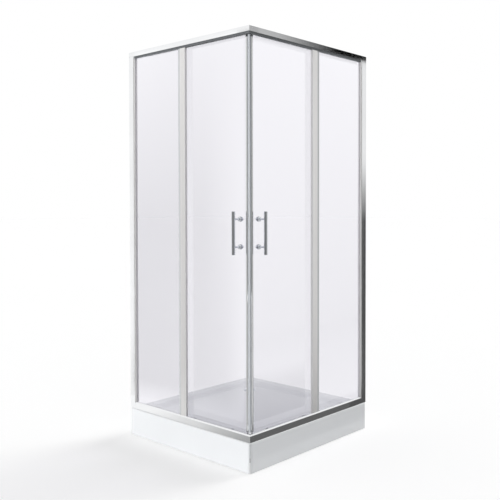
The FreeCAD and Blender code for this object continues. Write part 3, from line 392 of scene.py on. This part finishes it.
def smoothing_group():
    """A node group that joins a solid's loose triangles and smooths all but its true edges."""
    name = "joined_and_smoothed"
    if name in bpy.data.node_groups:
        return bpy.data.node_groups[name]
    tree = bpy.data.node_groups.new(name, "GeometryNodeTree")
    tree.interface.new_socket("Geometry", in_out="INPUT", socket_type="NodeSocketGeometry")
    tree.interface.new_socket("Geometry", in_out="OUTPUT", socket_type="NodeSocketGeometry")
    entry = add_node(tree, "NodeGroupInput")
    merged = add_node(tree, "GeometryNodeMergeByDistance", {
        "Geometry": entry.outputs[0], "Distance": JOIN_GAP})
    plain = add_node(tree, "GeometryNodeRemoveAttribute", {
        "Geometry": merged.outputs[0], "Name": "custom_normal"})
    smooth = add_node(tree, "GeometryNodeSetShadeSmooth", {
        "Geometry": plain.outputs[0], "Shade Smooth": True}, domain="FACE")
    angle = add_node(tree, "GeometryNodeInputMeshEdgeAngle")
    sharp = add_node(tree, "FunctionNodeCompare", {
        0: angle.outputs["Unsigned Angle"], 1: SMOOTH_ANGLE}, data_type="FLOAT", operation="GREATER_THAN")
    creased = add_node(tree, "GeometryNodeSetShadeSmooth", {
        "Geometry": smooth.outputs[0], "Selection": sharp.outputs[0], "Shade Smooth": False}, domain="EDGE")
    add_node(tree, "NodeGroupOutput", {0: creased.outputs[0]})
    return tree


def dress(node, material, edge=0.0):
    """Give a CAD node its finish, smooth its curves and break its edges."""
    piece = NODES[node]
    for slot in piece.material_slots:
        slot.material = material
    smoothing = piece.modifiers.new("curves", "NODES")
    smoothing.node_group = smoothing_group()
    if edge > 0:
        bevel = piece.modifiers.new("broken_edges", "BEVEL")
        bevel.width = edge
        bevel.segments = 2
        bevel.limit_method = "ANGLE"
        bevel.angle_limit = BROKEN_EDGE_ANGLE
        bevel.use_clamp_overlap = True
        bevel.miter_outer = "MITER_ARC"
    faces = piece.modifiers.new("flat_faces", "WEIGHTED_NORMAL")
    faces.keep_sharp = True


def side_frame(side):
    """From a side's own along, inward and up to the enclosure's frame."""
    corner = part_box("right_bottom_rail")[1].x
    if side == "right":
        return Matrix(((0, -1, 0, corner), (1, 0, 0, -corner), (0, 0, 1, 0), (0, 0, 0, 1)))
    return Matrix(((-1, 0, 0, corner), (0, 1, 0, -corner), (0, 0, 1, 0), (0, 0, 0, 1)))


def side_box(side, node):
    """A node's box at rest in its side's own frame: along, inward and up."""
    back = side_frame(side).inverted()
    ends = [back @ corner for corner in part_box(f"{side}_{node}")]
    return Vector(map(min, *ends)), Vector(map(max, *ends))


def drawn(outline, axis, start, end):
    """Draw a closed outline out along one axis of a side's frame, as a die draws a section."""
    shape = bmesh.new()
    points = []
    for pair in outline:
        place = list(pair)
        place.insert(axis, start)
        points.append(shape.verts.new(place))
    face = shape.faces.new(points)
    grown = bmesh.ops.extrude_face_region(shape, geom=[face])["geom"]
    reach = Vector()
    reach[axis] = end - start
    moved = [item for item in grown if isinstance(item, bmesh.types.BMVert)]
    bmesh.ops.translate(shape, verts=moved, vec=reach)
    return shape


def round_edges(shape, edges, width, segments):
    """Round the chosen edges of a shape."""
    bmesh.ops.bevel(shape, geom=edges, offset=width, offset_type="OFFSET", affect="EDGES", segments=segments,
                    profile=0.5, material=-1, clamp_overlap=True)


def sharp_edges(shape, angle):
    """The edges of a shape where two faces turn by more than an angle."""
    return [edge for edge in shape.edges if edge.is_manifold and edge.calc_face_angle() > angle]


def soften(shape, width, chosen=None):
    """Round a drawn section's edges, or those that the test picks."""
    edges = sharp_edges(shape, SECTION_EDGE_ANGLE)
    if chosen:
        edges = [edge for edge in edges if chosen(edge)]
    round_edges(shape, edges, width, segments=3)


def mitre(shape):
    """Cut a drawn section's front end along the enclosure's diagonal and close it."""
    geometry = shape.verts[:] + shape.edges[:] + shape.faces[:]
    cut = bmesh.ops.bisect_plane(
        shape, geom=geometry, plane_co=(0, 0, 0), plane_no=(1, -1, 0), clear_inner=True)
    rim = [item for item in cut["geom_cut"] if isinstance(item, bmesh.types.BMEdge)]
    bmesh.ops.contextual_create(shape, geom=rim)


def turned(profile, steps):
    """Spin a half outline of radius and height about the height axis."""
    shape = bmesh.new()
    points = [shape.verts.new((radius, 0.0, height)) for radius, height in profile]
    edges = [shape.edges.new(pair) for pair in zip(points, points[1:])]
    bmesh.ops.spin(shape, geom=points + edges, cent=(0, 0, 0), axis=(0, 0, 1), angle=math.tau,
                   steps=steps, use_merge=True)
    bmesh.ops.remove_doubles(shape, verts=shape.verts, dist=SPIN_GAP)
    return shape


def add_object(name, shape, material):
    """Write a shape to a new object at the origin, in one material."""
    mesh = bpy.data.meshes.new(name)
    shape.to_mesh(mesh)
    shape.free()
    mesh.materials.append(material)
    made = bpy.data.objects.new(name, mesh)
    bpy.context.scene.collection.objects.link(made)
    return made


def keep_piece(name, shapes, body, material, replaced):
    """Write shapes to one object at the origin that rides on a body and stands for CAD nodes."""
    whole = bmesh.new()
    for shape in shapes:
        part = bpy.data.meshes.new("part")
        shape.to_mesh(part)
        shape.free()
        whole.from_mesh(part)
        bpy.data.meshes.remove(part)
    bmesh.ops.recalc_face_normals(whole, faces=whole.faces)
    piece = add_object(name, whole, material)
    piece.data.shade_smooth()
    piece.data.set_sharp_from_angle(angle=SMOOTH_ANGLE)
    faces = piece.modifiers.new("flat_faces", "WEIGHTED_NORMAL")
    faces.keep_sharp = True
    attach(piece, body)
    if replaced:
        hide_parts(*replaced)


class SHOWER_OT_tray(bpy.types.Operator):
    """Finish the tray, its board, its feet and its waste"""

    bl_idname = "shower.tray"
    bl_label = "Tray"

    def execute(self, context):
        edge = sizes().edge_round
        dress("tray_shell", sanitary_acrylic())
        dress("tray_base_board", chipboard(), edge)
        zinc = zinc_plate()
        foot = moulded_plastic(
            "moulded_foot_polypropylene", finishes().feet, roughness=(0.42, 0.6), grain_mm=0.8)
        dress("foot_pads", foot, edge)
        for node in ("foot_studs", "foot_nuts"):
            dress(node, zinc)
        chrome = chrome_plate()
        for node in ("drain_flange", "drain_cover"):
            dress(node, chrome)
        waste = moulded_plastic(
            "moulded_waste_polypropylene", finishes().waste, roughness=(0.35, 0.5), grain_mm=0.8)
        dress("waste_body", waste, edge)
        return {"FINISHED"}


class SHOWER_OT_metalwork(bpy.types.Operator):
    """Finish the rails, wall profiles, posts, stiles and cleats"""

    bl_idname = "shower.metalwork"
    bl_label = "Metalwork"

    def execute(self, context):
        edge = sizes().edge_round
        bright_along = {"left": bright_aluminium(ALONG_X), "right": bright_aluminium(ALONG_Y)}
        bright_up = bright_aluminium(ALONG_Z)
        satin_up = satin_aluminium(ALONG_Z)
        for side in SIDES:
            for node in ("top_rail", "bottom_rail"):
                dress(f"{side}_{node}", bright_along[side], edge)
            dress(f"{side}_wall_channel", bright_up, edge)
            dress(f"{side}_front_stile", bright_up, edge)
            for node in ("wall_adjuster", "pane_post", "rear_stile"):
                dress(f"{side}_{node}", satin_up, edge)
        zinc = zinc_plate()
        dress("corner_cleats", zinc, edge)
        for node in ("corner_screws", "adjuster_screws"):
            dress(node, zinc)
        return {"FINISHED"}


class SHOWER_OT_glazing(bpy.types.Operator):
    """Finish the fixed panes and door panes"""

    bl_idname = "shower.glazing"
    bl_label = "Glazing"

    def execute(self, context):
        glass = clear_glass()
        for side in SIDES:
            dress(f"{side}_fixed_pane", glass, sizes().glass_arris)
            dress(f"{side}_door_glass", glass)
        return {"FINISHED"}


def vinyl_section(outline, axis, start, end):
    """A drawn vinyl section with rounded edges, in a side's own frame."""
    shape = drawn(outline, axis, start, end)
    soften(shape, sizes().vinyl_round)
    return shape


def keep_section(side, piece, shape, body, material, replaced):
    """Set a section on its side of the enclosure and keep it as that side's piece."""
    shape.transform(side_frame(side))
    keep_piece(f"{side}_{piece}", [shape], body, material, replaced)


def meeting_seal(side, material):
    """Mitred seal on the door's front edge, with a groove that lets its nose flex."""
    low, high = side_box(side, "magnet_seal")
    depth = high.y - low.y
    face_end = high.x - depth
    middle = (low.x + face_end) / 2
    groove = sizes().seal_groove
    outline = [
        (low.x, low.y), (low.x + depth, high.y), (high.x, high.y), (face_end, low.y),
        (middle + groove / 2, low.y), (middle, low.y + groove), (middle - groove / 2, low.y)]
    shape = vinyl_section(outline, ALONG_Z, low.z, high.z)
    keep_section(
        side, "meeting_seal", shape, f"{side}_door", material, [f"{side}_magnet_seal"])


def wiper_seal(side, material):
    """Seal on the door's rear edge: a foot on the stile and a bent blade towards the fixed pane."""
    low, high = side_box(side, "lip_seal")
    blade = sizes().lip_blade
    reach = high.y - low.y
    middle = (low.x + high.x) / 2
    bend = middle - blade
    outline = [
        (low.x, high.y), (low.x, high.y - blade * 2), (middle - blade / 2, high.y - blade * 3),
        (bend, low.y + reach / 3), (middle - blade / 2, low.y), (middle + blade / 2, low.y),
        (bend + blade, low.y + reach / 3), (middle + blade, high.y - blade * 3),
        (high.x, high.y - blade * 2), (high.x, high.y)]
    shape = vinyl_section(outline, ALONG_Z, low.z, high.z)
    keep_section(side, "wiper_seal", shape, f"{side}_door", material, [f"{side}_lip_seal"])


def edge_guard(side, material):
    """Clip-on guard on the door's lower edge, with a drip fin."""
    low, high = side_box(side, "drip_seal")
    foot = side_box(side, "door_glass")[0].z
    wall = sizes().vinyl_wall
    middle = (low.y + high.y) / 2
    body = (low.z + foot) / 2
    outline = [
        (low.y, high.z), (low.y + wall, high.z), (low.y + wall, foot), (high.y - wall, foot),
        (high.y - wall, high.z), (high.y, high.z), (high.y, body), (middle + wall / 2, low.z),
        (middle - wall / 2, low.z), (low.y, body)]
    shape = vinyl_section(outline, ALONG_X, low.x, high.x)
    keep_section(side, "edge_guard", shape, f"{side}_door", material, [f"{side}_drip_seal"])


def shadow_strip(side, material):
    """Grey strip that closes the top rail's mouth over the fixed pane, with a bead on its lower edge. Its
    dark grey is partly painted shade: it stands for the shade under the top rail as well as the strip's own
    colour.
    """
    low, high = side_box(side, "top_rail_strip")
    shoulder = high.z - sizes().strip_grip
    face = low.y + sizes().strip_recess
    bead = sizes().vinyl_wall
    outline = [
        (low.y, high.z), (low.y, shoulder), (face, shoulder), (face, low.z + bead * 2),
        (face - bead / 2, low.z + bead), (face - bead / 2, low.z), (high.y, low.z), (high.y, high.z)]
    shape = vinyl_section(outline, ALONG_X, 0.0, high.x)
    mitre(shape)
    keep_section(
        side, "shadow_strip", shape, "enclosure", material, [f"{side}_top_rail_strip"])


def post_bead(side, material):
    """Wedge bead that closes the post's mouth on the fixed pane's outer face."""
    settings = sizes()
    start = side_box(side, "pane_post")[1].x
    glass = side_box(side, "fixed_pane")[0].y
    sill = side_box(side, "bottom_rail")[1].z
    head = side_box(side, "top_rail_strip")[0].z
    wall = settings.vinyl_wall
    end = start + settings.bead_width
    outline = [
        (start, glass - wall), (end - wall, glass - wall), (end, glass - wall / 3),
        (end, glass), (start, glass)]
    shape = vinyl_section(outline, ALONG_Z, sill, head)
    keep_section(side, "post_bead", shape, "enclosure", material, [])


def pane_gaskets(material):
    """Wedge gaskets along the fixed panes' heads and feet, and the setting blocks under them."""
    shapes = []
    settings = sizes()
    thick = settings.gasket_thickness
    tall = settings.gasket_height
    for side in SIDES:
        pane_low, pane_high = side_box(side, "fixed_pane")
        start = side_box(side, "pane_post")[1].x
        end = side_box(side, "wall_adjuster")[0].x
        head = side_box(side, "top_rail_strip")[0].z
        sill = side_box(side, "bottom_rail")[1].z
        inner_sill = sill - settings.gasket_step
        lips = [
            (pane_high.y, pane_high.y + thick, head + tall, head),
            (pane_low.y, pane_low.y - thick, sill - tall, sill),
            (pane_high.y, pane_high.y + thick, inner_sill - tall, inner_sill)]
        members = []
        for glass, wall, root, nose in lips:
            slant = nose + (thick if root > nose else -thick)
            outline = [(glass, root), (wall, root), (wall, slant), (glass, nose)]
            members.append(drawn(outline, ALONG_X, start, end))
        low = pane_low.y - thick
        high = pane_high.y + thick
        for place in (start + settings.block_inset, end - settings.block_inset - settings.block_length):
            foot = pane_low.z - settings.block_height
            outline = [(low, foot), (high, foot), (high, pane_low.z), (low, pane_low.z)]
            members.append(vinyl_section(outline, ALONG_X, place, place + settings.block_length))
        for shape in members:
            shape.transform(side_frame(side))
        shapes += members
    keep_piece("pane_lips_and_blocks", shapes, "enclosure", material, ["fixed_pane_gaskets"])


def rubber_bumpers(material):
    """Rubber stops at both ends of each top roller track, rounded on the inside."""
    shapes = []
    settings = sizes()
    low_up, high_up = (corner.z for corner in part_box("door_bumpers"))
    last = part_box("door_bumpers")[1].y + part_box("right_bottom_rail")[1].x
    for side in SIDES:
        back = side_box(side, "top_rail")[1].y - settings.bumper_wall
        near = back - settings.bumper_depth
        first = side_box(side, "front_top_wheel")[0].x - settings.bumper_gap - settings.bumper_length
        for place in (first, last - settings.bumper_length):
            end = place + settings.bumper_length
            shape = drawn([(place, near), (end, near), (end, back), (place, back)], ALONG_Z, low_up, high_up)
            soften(shape, settings.bumper_round, lambda edge: (
                all(abs(vert.co.y - near) < SAME_PLACE for vert in edge.verts)
                and abs(edge.verts[0].co.z - edge.verts[1].co.z) > SAME_PLACE))
            soften(shape, settings.vinyl_round)
            shape.transform(side_frame(side))
            shapes.append(shape)
    keep_piece("rubber_stops", shapes, "enclosure", material, ["door_bumpers"])


class SHOWER_OT_seals(bpy.types.Operator):
    """Draw the door seals, the strips under the top rails, the post beads, the pane gaskets and the stops"""

    bl_idname = "shower.seals"
    bl_label = "Seals"

    def execute(self, context):
        vinyl_up = soft_vinyl(ALONG_Z)
        vinyl_along = {"left": soft_vinyl(ALONG_X), "right": soft_vinyl(ALONG_Y)}
        # The grey strip's dark colour is partly painted shade, standing for the shade under the top rail.
        strip = finishes().strip
        shade_strip_along = {
            "left": filled_vinyl("grey", strip, ALONG_X), "right": filled_vinyl("grey", strip, ALONG_Y)}
        bead = filled_vinyl("pale_grey", finishes().bead, ALONG_Z)
        for side in SIDES:
            meeting_seal(side, vinyl_up)
            wiper_seal(side, vinyl_up)
            edge_guard(side, vinyl_along[side])
            shadow_strip(side, shade_strip_along[side])
            post_bead(side, bead)
        pane_gaskets(vinyl_up)
        rubber = moulded_plastic(
            "moulded_bumper_rubber", finishes().rubber, roughness=(0.6, 0.8), grain_mm=0.6)
        rubber_bumpers(rubber)
        return {"FINISHED"}


class SHOWER_OT_rollers(bpy.types.Operator):
    """Finish the rollers, hangers, brackets and their screws"""

    bl_idname = "shower.rollers"
    bl_label = "Roller gear"

    def execute(self, context):
        zinc = zinc_plate()
        nylon = moulded_plastic(
            "moulded_roller_nylon", finishes().nylon, roughness=(0.35, 0.5), grain_mm=0.7)
        for side in SIDES:
            for node in ("top_hangers", "roller_screws"):
                dress(f"{side}_{node}", zinc)
            dress(f"{side}_bottom_brackets", zinc, sizes().edge_round)
            for place in ("front_top", "front_bottom", "rear_top", "rear_bottom"):
                dress(f"{side}_{place}_wheel", nylon)
        return {"FINISHED"}


def crowned(profile, crown_up):
    """A turned shape whose widest ring at one height is rounded to a crown."""
    shape = turned(profile, CROWN_STEPS)
    widest = max(radius for radius, up in profile)
    ring = [edge for edge in shape.edges
            if all(abs(vert.co.z - crown_up) < SAME_PLACE and vert.co.xy.length > widest - SAME_PLACE
                   for vert in edge.verts)]
    round_edges(shape, ring, sizes().crown_round, segments=8)
    return shape


class SHOWER_OT_handles(bpy.types.Operator):
    """Turn the handle bars, their standoffs with rosettes and the inside knobs"""

    bl_idname = "shower.handles"
    bl_label = "Handles"

    def execute(self, context):
        chrome = chrome_plate()
        settings = sizes()
        inward = Matrix.Rotation(math.radians(-90), 4, "X")
        for side in SIDES:
            placed = side_frame(side)
            low, high = side_box(side, "handle_bar")
            axis = (low + high) / 2
            radius = (high.x - low.x) / 2
            bar = turned([(0, low.z), (radius, low.z), (radius, high.z), (0, high.z)], BAR_STEPS)
            round_edges(bar, sharp_edges(bar, TURNED_EDGE_ANGLE), settings.bar_end_round, segments=4)
            bar.transform(placed @ Matrix.Translation((axis.x, axis.y, 0)))
            keep_piece(f"{side}_grip_bar", [bar], f"{side}_door", chrome,
                       [f"{side}_handle_bar"])

            low, high = side_box(side, "handle_standoffs")
            knob_low, knob_high = side_box(side, "handle_knobs")
            glass = side_box(side, "door_glass")[0].y - axis.y
            rosette = (high.x - low.x) / 2
            stem = settings.stem_radius
            stud = settings.stud_radius
            base = glass - settings.rosette_height
            stud_end = high.y - axis.y
            stem_start = radius - settings.crown_round / 2
            knob = (knob_high.x - knob_low.x) / 2
            knob_base = knob_low.y - axis.y
            knob_end = knob_high.y - axis.y
            standoffs = []
            knobs = []
            for up in (low.z + rosette, high.z - rosette):
                seat = placed @ Matrix.Translation((axis.x, axis.y, up)) @ inward
                standoffs.append(crowned([
                    (0, stem_start), (stem, stem_start), (stem, base), (rosette, base), (rosette, glass),
                    (stud, glass), (stud, stud_end), (0, stud_end)], base))
                knobs.append(crowned([
                    (0, knob_base), (knob, knob_base), (knob, knob_end), (0, knob_end)], knob_end))
                for shape in (standoffs[-1], knobs[-1]):
                    shape.transform(seat)
            keep_piece(f"{side}_grip_stems", standoffs, f"{side}_door", chrome,
                       [f"{side}_handle_standoffs"])
            keep_piece(f"{side}_grip_knobs", knobs, f"{side}_door", chrome,
                       [f"{side}_handle_knobs"])
        return {"FINISHED"}


def stage_sheet(name, shape, material):
    """A sheet of the studio, which isn't part of the enclosure."""
    sheet = add_object(name, shape, material)
    return sheet


def studio_floor(strength):
    """Pale painted floor that reads as white to the camera and keeps the shadow."""
    material, tree = start_material("pale_studio_floor")
    grain = object_pattern(tree, NOISE, [30.0] * 3)
    tone = add_node(tree, "ShaderNodeMix", {
        0: grain.outputs[0], 6: linear(FLOOR_DARK), 7: linear(FLOOR_LIGHT)}, data_type="RGBA")
    paint = add_node(tree, "ShaderNodeBsdfDiffuse", {"Color": tone.outputs[2]})
    glow = add_node(tree, "ShaderNodeEmission", {"Color": WHITE, "Strength": strength})
    both = add_node(tree, "ShaderNodeAddShader", {0: paint.outputs[0], 1: glow.outputs[0]})
    shader = add_node(tree, "ShaderNodeMixShader", {
        0: seen_rays(tree), 1: paint.outputs[0], 2: both.outputs[0]})
    add_node(tree, "ShaderNodeOutputMaterial", {"Surface": shader.outputs[0]})
    return material


def seen_rays(tree):
    """One for rays that show the background to the camera, directly or in metal and glass."""
    rays = add_node(tree, "ShaderNodeLightPath")
    mirrored = add_node(tree, "ShaderNodeMath", {
        0: rays.outputs["Is Camera Ray"], 1: rays.outputs["Is Glossy Ray"]}, operation="MAXIMUM")
    through = add_node(tree, "ShaderNodeMath", {
        0: mirrored.outputs[0], 1: rays.outputs["Is Transmission Ray"]}, operation="MAXIMUM")
    return through.outputs[0]


def glowing_reflection_flag(name, rows, through=False):
    """A glowing sheet that shows only in reflections and paints graded reflections, drawn through rows of
    two places with a glow strength (tone) at each.
    """
    # A flag for the panes also shows in the reflection from the back face of the glass.
    material, tree = start_material(f"{name}_cloth")
    tone = add_node(tree, "ShaderNodeAttribute", attribute_name="tone")
    # The sheet glows by its tone, so what it gives is painted reflection: dark bands, gradients, and
    # highlights brighter than white where the tone is above one.
    reflection_glow = add_node(tree, "ShaderNodeEmission", {"Color": WHITE, "Strength": tone.outputs["Fac"]})
    add_node(tree, "ShaderNodeOutputMaterial", {"Surface": reflection_glow.outputs[0]})
    shape = bmesh.new()
    tones = shape.verts.layers.float.new("tone")
    edges = []
    for row in rows:
        ends = [shape.verts.new(end[:3]) for end in row]
        for vert, end in zip(ends, row):
            vert[tones] = end[3]
        edges.append(shape.edges.new(ends))
    for pair in zip(edges, edges[1:]):
        bmesh.ops.bridge_loops(shape, edges=pair)
    bmesh.ops.subdivide_edges(shape, edges=shape.edges, cuts=FLAG_CUTS, use_grid_fill=True)
    flag = stage_sheet(name, shape, material)
    flag.visible_camera = False
    flag.visible_diffuse = False
    flag.visible_transmission = through
    flag.visible_volume_scatter = False
    flag.visible_shadow = False


def upright(x, y, foot, head):
    """A flag's row that stands upright, with the height and tone of its foot and its head."""
    return (x, y, *foot), (x, y, *head)


def level(up, first, second):
    """A flag's row at one height, with the place and tone of both ends."""
    return (*first[:2], up, first[2]), (*second[:2], up, second[2])


def crosswise(up, rows):
    """Level rows across the floor, each at one distance from the left and of one tone."""
    return [level(up, (x, near, tone), (x, far, tone)) for x, near, far, tone in rows]


def add_lamp(name, strength, comes_from, shadow):
    """A broad, even lamp that is left out of reflections."""
    light = bpy.data.lights.new(name, "SUN")
    light.energy = strength
    light.angle = LAMP_ANGLE
    light.use_shadow = shadow
    lamp = bpy.data.objects.new(name, light)
    bpy.context.scene.collection.objects.link(lamp)
    lamp.rotation_euler = Vector(comes_from).to_track_quat("Z", "Y").to_euler()
    lamp.visible_glossy = False
    lamp.visible_transmission = False


def hang_front_flags():
    """Dimly glowing sheets behind the camera and on the floor before it, which paint dark reflections in the
    corner, handles and round edges.
    """
    stands = (
        (-3.4, -5.8, 0.3, 0.4), (-1.6, -6.4, 0.2, 0.34), (2.2, -7.4, 0.18, 0.3),
        (7.4, -2.2, 0.25, 0.4), (6.6, 1.2, 0.35, 0.5), (6.0, 4.0, 0.5, 0.65))
    glowing_reflection_flag("flag_front", [upright(x, y, (0.01, foot), (3.9, head)) for x, y, foot, head in stands])
    glowing_reflection_flag("flag_front_floor", [
        level(FRONT_FLAG_UP, (0.2, -1.04, 0.27), (-1.7, -6.0, 0.2)),
        level(FRONT_FLAG_UP, (0.53, -1.07, 0.27), (1.3, -6.3, 0.18)),
        level(FRONT_FLAG_UP, (0.79, -0.96, 0.27), (3.7, -5.2, 0.22)),
        level(FRONT_FLAG_UP, (0.95, -0.8, 0.27), (5.2, -3.7, 0.24))])


def hang_right_flags():
    """Glowing sheets in the places that the right side's stile, panes, wall channel, top rail and sill
    mirror, which paint their graded reflections.
    """
    wall = RIGHT_FLAGS_X
    ground = PANE_FLAG_UP
    # Where the camera sees each part's mirror image start on the flags' plane.
    stile = 1.8
    door = 1.95
    pane = 2.76
    channel = 3.5
    head = 2.73
    rail = 2.78
    glowing_reflection_flag("flag_right_panes", [
        upright(wall, y, (ground, 0.6), (head, 1.27)) for y in (door, channel)], through=True)
    glowing_reflection_flag("flag_right_stile", [
        upright(wall, y, (ground, 0.37), (3.0, 0.37)) for y in (stile, door)])
    glowing_reflection_flag("flag_right_channel", [
        level(up, (wall, channel, tone), (wall, 4.4, tone))
        for up, tone in ((ground, 0.06), (1.05, 0.06), (1.7, 0.86), (rail, 0.88))])
    glowing_reflection_flag("flag_right_rail", [
        upright(wall, y, (foot, tone), (3.2, tone)) for y, foot, tone in (
            (1.5, head, 0.6), (2.2, head, 0.5), (2.7, head, 0.2), (3.1, head, 0.0), (3.48, head, 0.0),
            (channel, rail, 0.0), (4.8, rail, 0.0))])
    glowing_reflection_flag("flag_right_rail_high", [
        upright(wall, y, (3.5, tone), (4.5, tone))
        for y, tone in ((1.5, 0.6), (2.2, 0.4), (2.7, 0.0), (3.8, 0.0))])
    glowing_reflection_flag("flag_right_sill", crosswise(SILL_FLAG_UP, (
        (0.56, -0.6, 1.6, 0.13), (0.9, -0.6, 1.6, 0.13), (1.3, -0.6, 1.6, 1.0))))
    glowing_reflection_flag("flag_right_channel_foot", crosswise(METAL_FLAG_UP, (
        (0.6, 0.5, 1.5, 0.09), (0.86, 0.87, 1.75, 0.09), (0.92, 1.06, 1.8, 0.09),
        (wall, channel, 4.3, 0.06))))
    glowing_reflection_flag("flag_right_door_foot", crosswise(ground, (
        (0.9, 0.1, 0.58, 0.0), (1.35, 0.56, 1.12, 0.1), (1.75, 0.97, 1.6, 0.7), (wall, door, pane, 0.5))),
        through=True)
    glowing_reflection_flag("flag_right_pane_foot", crosswise(ground, (
        (0.9, 0.58, 1.03, 0.85), (wall, pane, channel, 0.5))), through=True)
    glowing_reflection_flag("flag_right_stile_foot", [
        level(METAL_FLAG_UP, (0.88, near, 0.37), (wall, far, 0.37))
        for near, far in ((0.0, stile), (0.09, door))])


def hang_left_flags():
    """Glowing sheets in the places that the left side's wall channel, panes, stile and sill mirror, which
    paint their graded reflections.
    """
    wall = LEFT_FLAGS_Y
    ground = PANE_FLAG_UP
    # Where the camera sees each part's mirror image start on the flags' plane.
    start = -4.6
    channel = -3.5
    stile = -1.96
    corner = -1.78
    middle = 1.05
    head = 2.8
    glowing_reflection_flag("flag_left_panes_low", [
        upright(x, wall, (ground, foot), (middle, top)) for x, foot, top in (
            (channel, 0.0, 0.1), (-2.75, 0.0, 0.0), (-2.5, 0.0, 0.0), (-2.2, 0.25, 0.5),
            (stile, 0.95, 1.0))],
        through=True)
    glowing_reflection_flag("flag_left_panes_high", [
        upright(x, wall, (middle, foot), (head, top)) for x, foot, top in (
            (channel, 0.1, 1.2), (-2.75, 0.0, 1.03), (-2.5, 0.0, 1.03), (stile, 1.0, 1.17))],
        through=True)
    glowing_reflection_flag("flag_left_stile", [
        upright(x, wall, (ground, 0.5), (head, 0.76)) for x in (stile, corner)])
    floor_rows = (
        ((channel, wall, 0.0), (-1.45, -1.2, 0.0), (-1.046, -0.9, 0.95)),
        ((-2.75, wall, 0.0), (-0.948, -1.2, 0.0), (-0.593, -0.9, 1.0)),
        ((-2.5, wall, 0.0), (-0.95, -1.35, 0.0), (-0.442, -0.9, 1.1)),
        ((-2.2, wall, 0.25), (-0.742, -1.35, 0.2), (-0.264, -0.9, 1.1)),
        ((stile, wall, 0.95), (-0.576, -1.35, 0.95), (-0.122, -0.9, 1.1)))
    glowing_reflection_flag("flag_left_panes_foot", [
        level(ground, far, half) for far, half, near in floor_rows], through=True)
    glowing_reflection_flag("flag_left_panes_sill", [
        level(ground, half, near) for far, half, near in floor_rows], through=True)
    glowing_reflection_flag("flag_left_channel", [
        level(up, (start, wall, tone), (channel, wall, tone))
        for up, tone in ((ground, 1.1), (1.1, 1.04), (3.2, 0.98))])
    glowing_reflection_flag("flag_left_channel_foot", [
        level(ground, (start, wall, 1.1), (channel, wall, 1.1)),
        level(ground, (-1.71, -0.9, 0.95), (-1.046, -0.9, 0.95))])
    glowing_reflection_flag("flag_left_stile_foot", [
        level(ground, (far, wall, 0.5), (near, -0.884, 0.5))
        for far, near in ((stile, -0.1), (corner, 0.0))])
    glowing_reflection_flag("flag_left_sill", crosswise(SILL_FLAG_UP, (
        (-1.3, -1.0, -0.58, 1.05), (-0.7, -1.0, -0.58, 1.02), (-0.24, -1.0, -0.58, 0.7),
        (0.08, -1.0, -0.58, 0.43), (0.3, -1.0, -0.58, 0.38))))


class SHOWER_OT_stage(bpy.types.Operator):
    """Set the floor, the light, the flags and the camera"""

    bl_idname = "shower.stage"
    bl_label = "Stage"

    def execute(self, context):
        scene = context.scene
        settings = stage()
        scene.view_settings.view_transform = "Standard"
        ground = bmesh.new()
        bmesh.ops.create_grid(ground, x_segments=1, y_segments=1, size=FLOOR_HALF_SIDE)
        stage_sheet("floor", ground, studio_floor(settings.floor_glow))
        hang_front_flags()
        hang_right_flags()
        hang_left_flags()

        world = bpy.data.worlds.new("white_studio")
        world.use_nodes = True
        world.node_tree.nodes.clear()
        scene.world = world
        tree = world.node_tree
        even = add_node(tree, "ShaderNodeBackground", {"Color": WHITE, "Strength": settings.ambient})
        white = add_node(tree, "ShaderNodeBackground", {"Color": WHITE, "Strength": 1.0})
        mixed = add_node(tree, "ShaderNodeMixShader", {
            0: seen_rays(tree), 1: even.outputs[0], 2: white.outputs[0]})
        add_node(tree, "ShaderNodeOutputWorld", {"Surface": mixed.outputs[0]})

        add_lamp("soft_key", settings.key, settings.key_from, False)
        add_lamp("soft_back", settings.back, settings.back_from, True)

        lens = bpy.data.cameras.new("camera")
        lens.sensor_width = SENSOR_WIDTH_MM
        lens.lens = settings.lens
        lens.shift_x, lens.shift_y = settings.shift
        lens.clip_end = FARTHEST_SEEN
        camera = bpy.data.objects.new("camera", lens)
        scene.collection.objects.link(camera)
        camera.location = settings.place
        camera.rotation_euler = (math.radians(90) - settings.dip, 0.0, settings.azimuth)
        scene.camera = camera
        return {"FINISHED"}


OPERATORS = (
    SHOWER_OT_tray,
    SHOWER_OT_metalwork,
    SHOWER_OT_glazing,
    SHOWER_OT_seals,
    SHOWER_OT_rollers,
    SHOWER_OT_handles,
    SHOWER_OT_stage,
)


class SHOWER_PT_panel(bpy.types.Panel):
    """Lists the steps that dress the shower enclosure"""

    bl_idname = "SHOWER_PT_panel"
    bl_label = "Shower enclosure"
    bl_space_type = "VIEW_3D"
    bl_region_type = "UI"
    bl_category = "Shower"

    def draw(self, context):
        for operator in OPERATORS:
            self.layout.operator(operator.bl_idname)


GROUPS = (
    ("shower_finishes", ShowerFinishes),
    ("shower_sizes", ShowerSizes),
    ("shower_stage", ShowerStage),
)


def register():
    """Add the classes and their settings to Blender."""
    for name, group in GROUPS:
        bpy.utils.register_class(group)
        setattr(bpy.types.Scene, name, bpy.props.PointerProperty(type=group))
    for cls in OPERATORS + (SHOWER_PT_panel,):
        bpy.utils.register_class(cls)


def unregister():
    """Take the classes and their settings out of Blender."""
    for cls in reversed(OPERATORS + (SHOWER_PT_panel,)):
        bpy.utils.unregister_class(cls)
    for name, group in reversed(GROUPS):
        delattr(bpy.types.Scene, name)
        bpy.utils.unregister_class(group)


def main():
    """Dress the enclosure and set the stage."""
    register()
    bpy.ops.shower.tray()
    bpy.ops.shower.metalwork()
    bpy.ops.shower.glazing()
    bpy.ops.shower.seals()
    bpy.ops.shower.rollers()
    bpy.ops.shower.handles()
    bpy.ops.shower.stage()


if __name__ == "__main__":
    main()
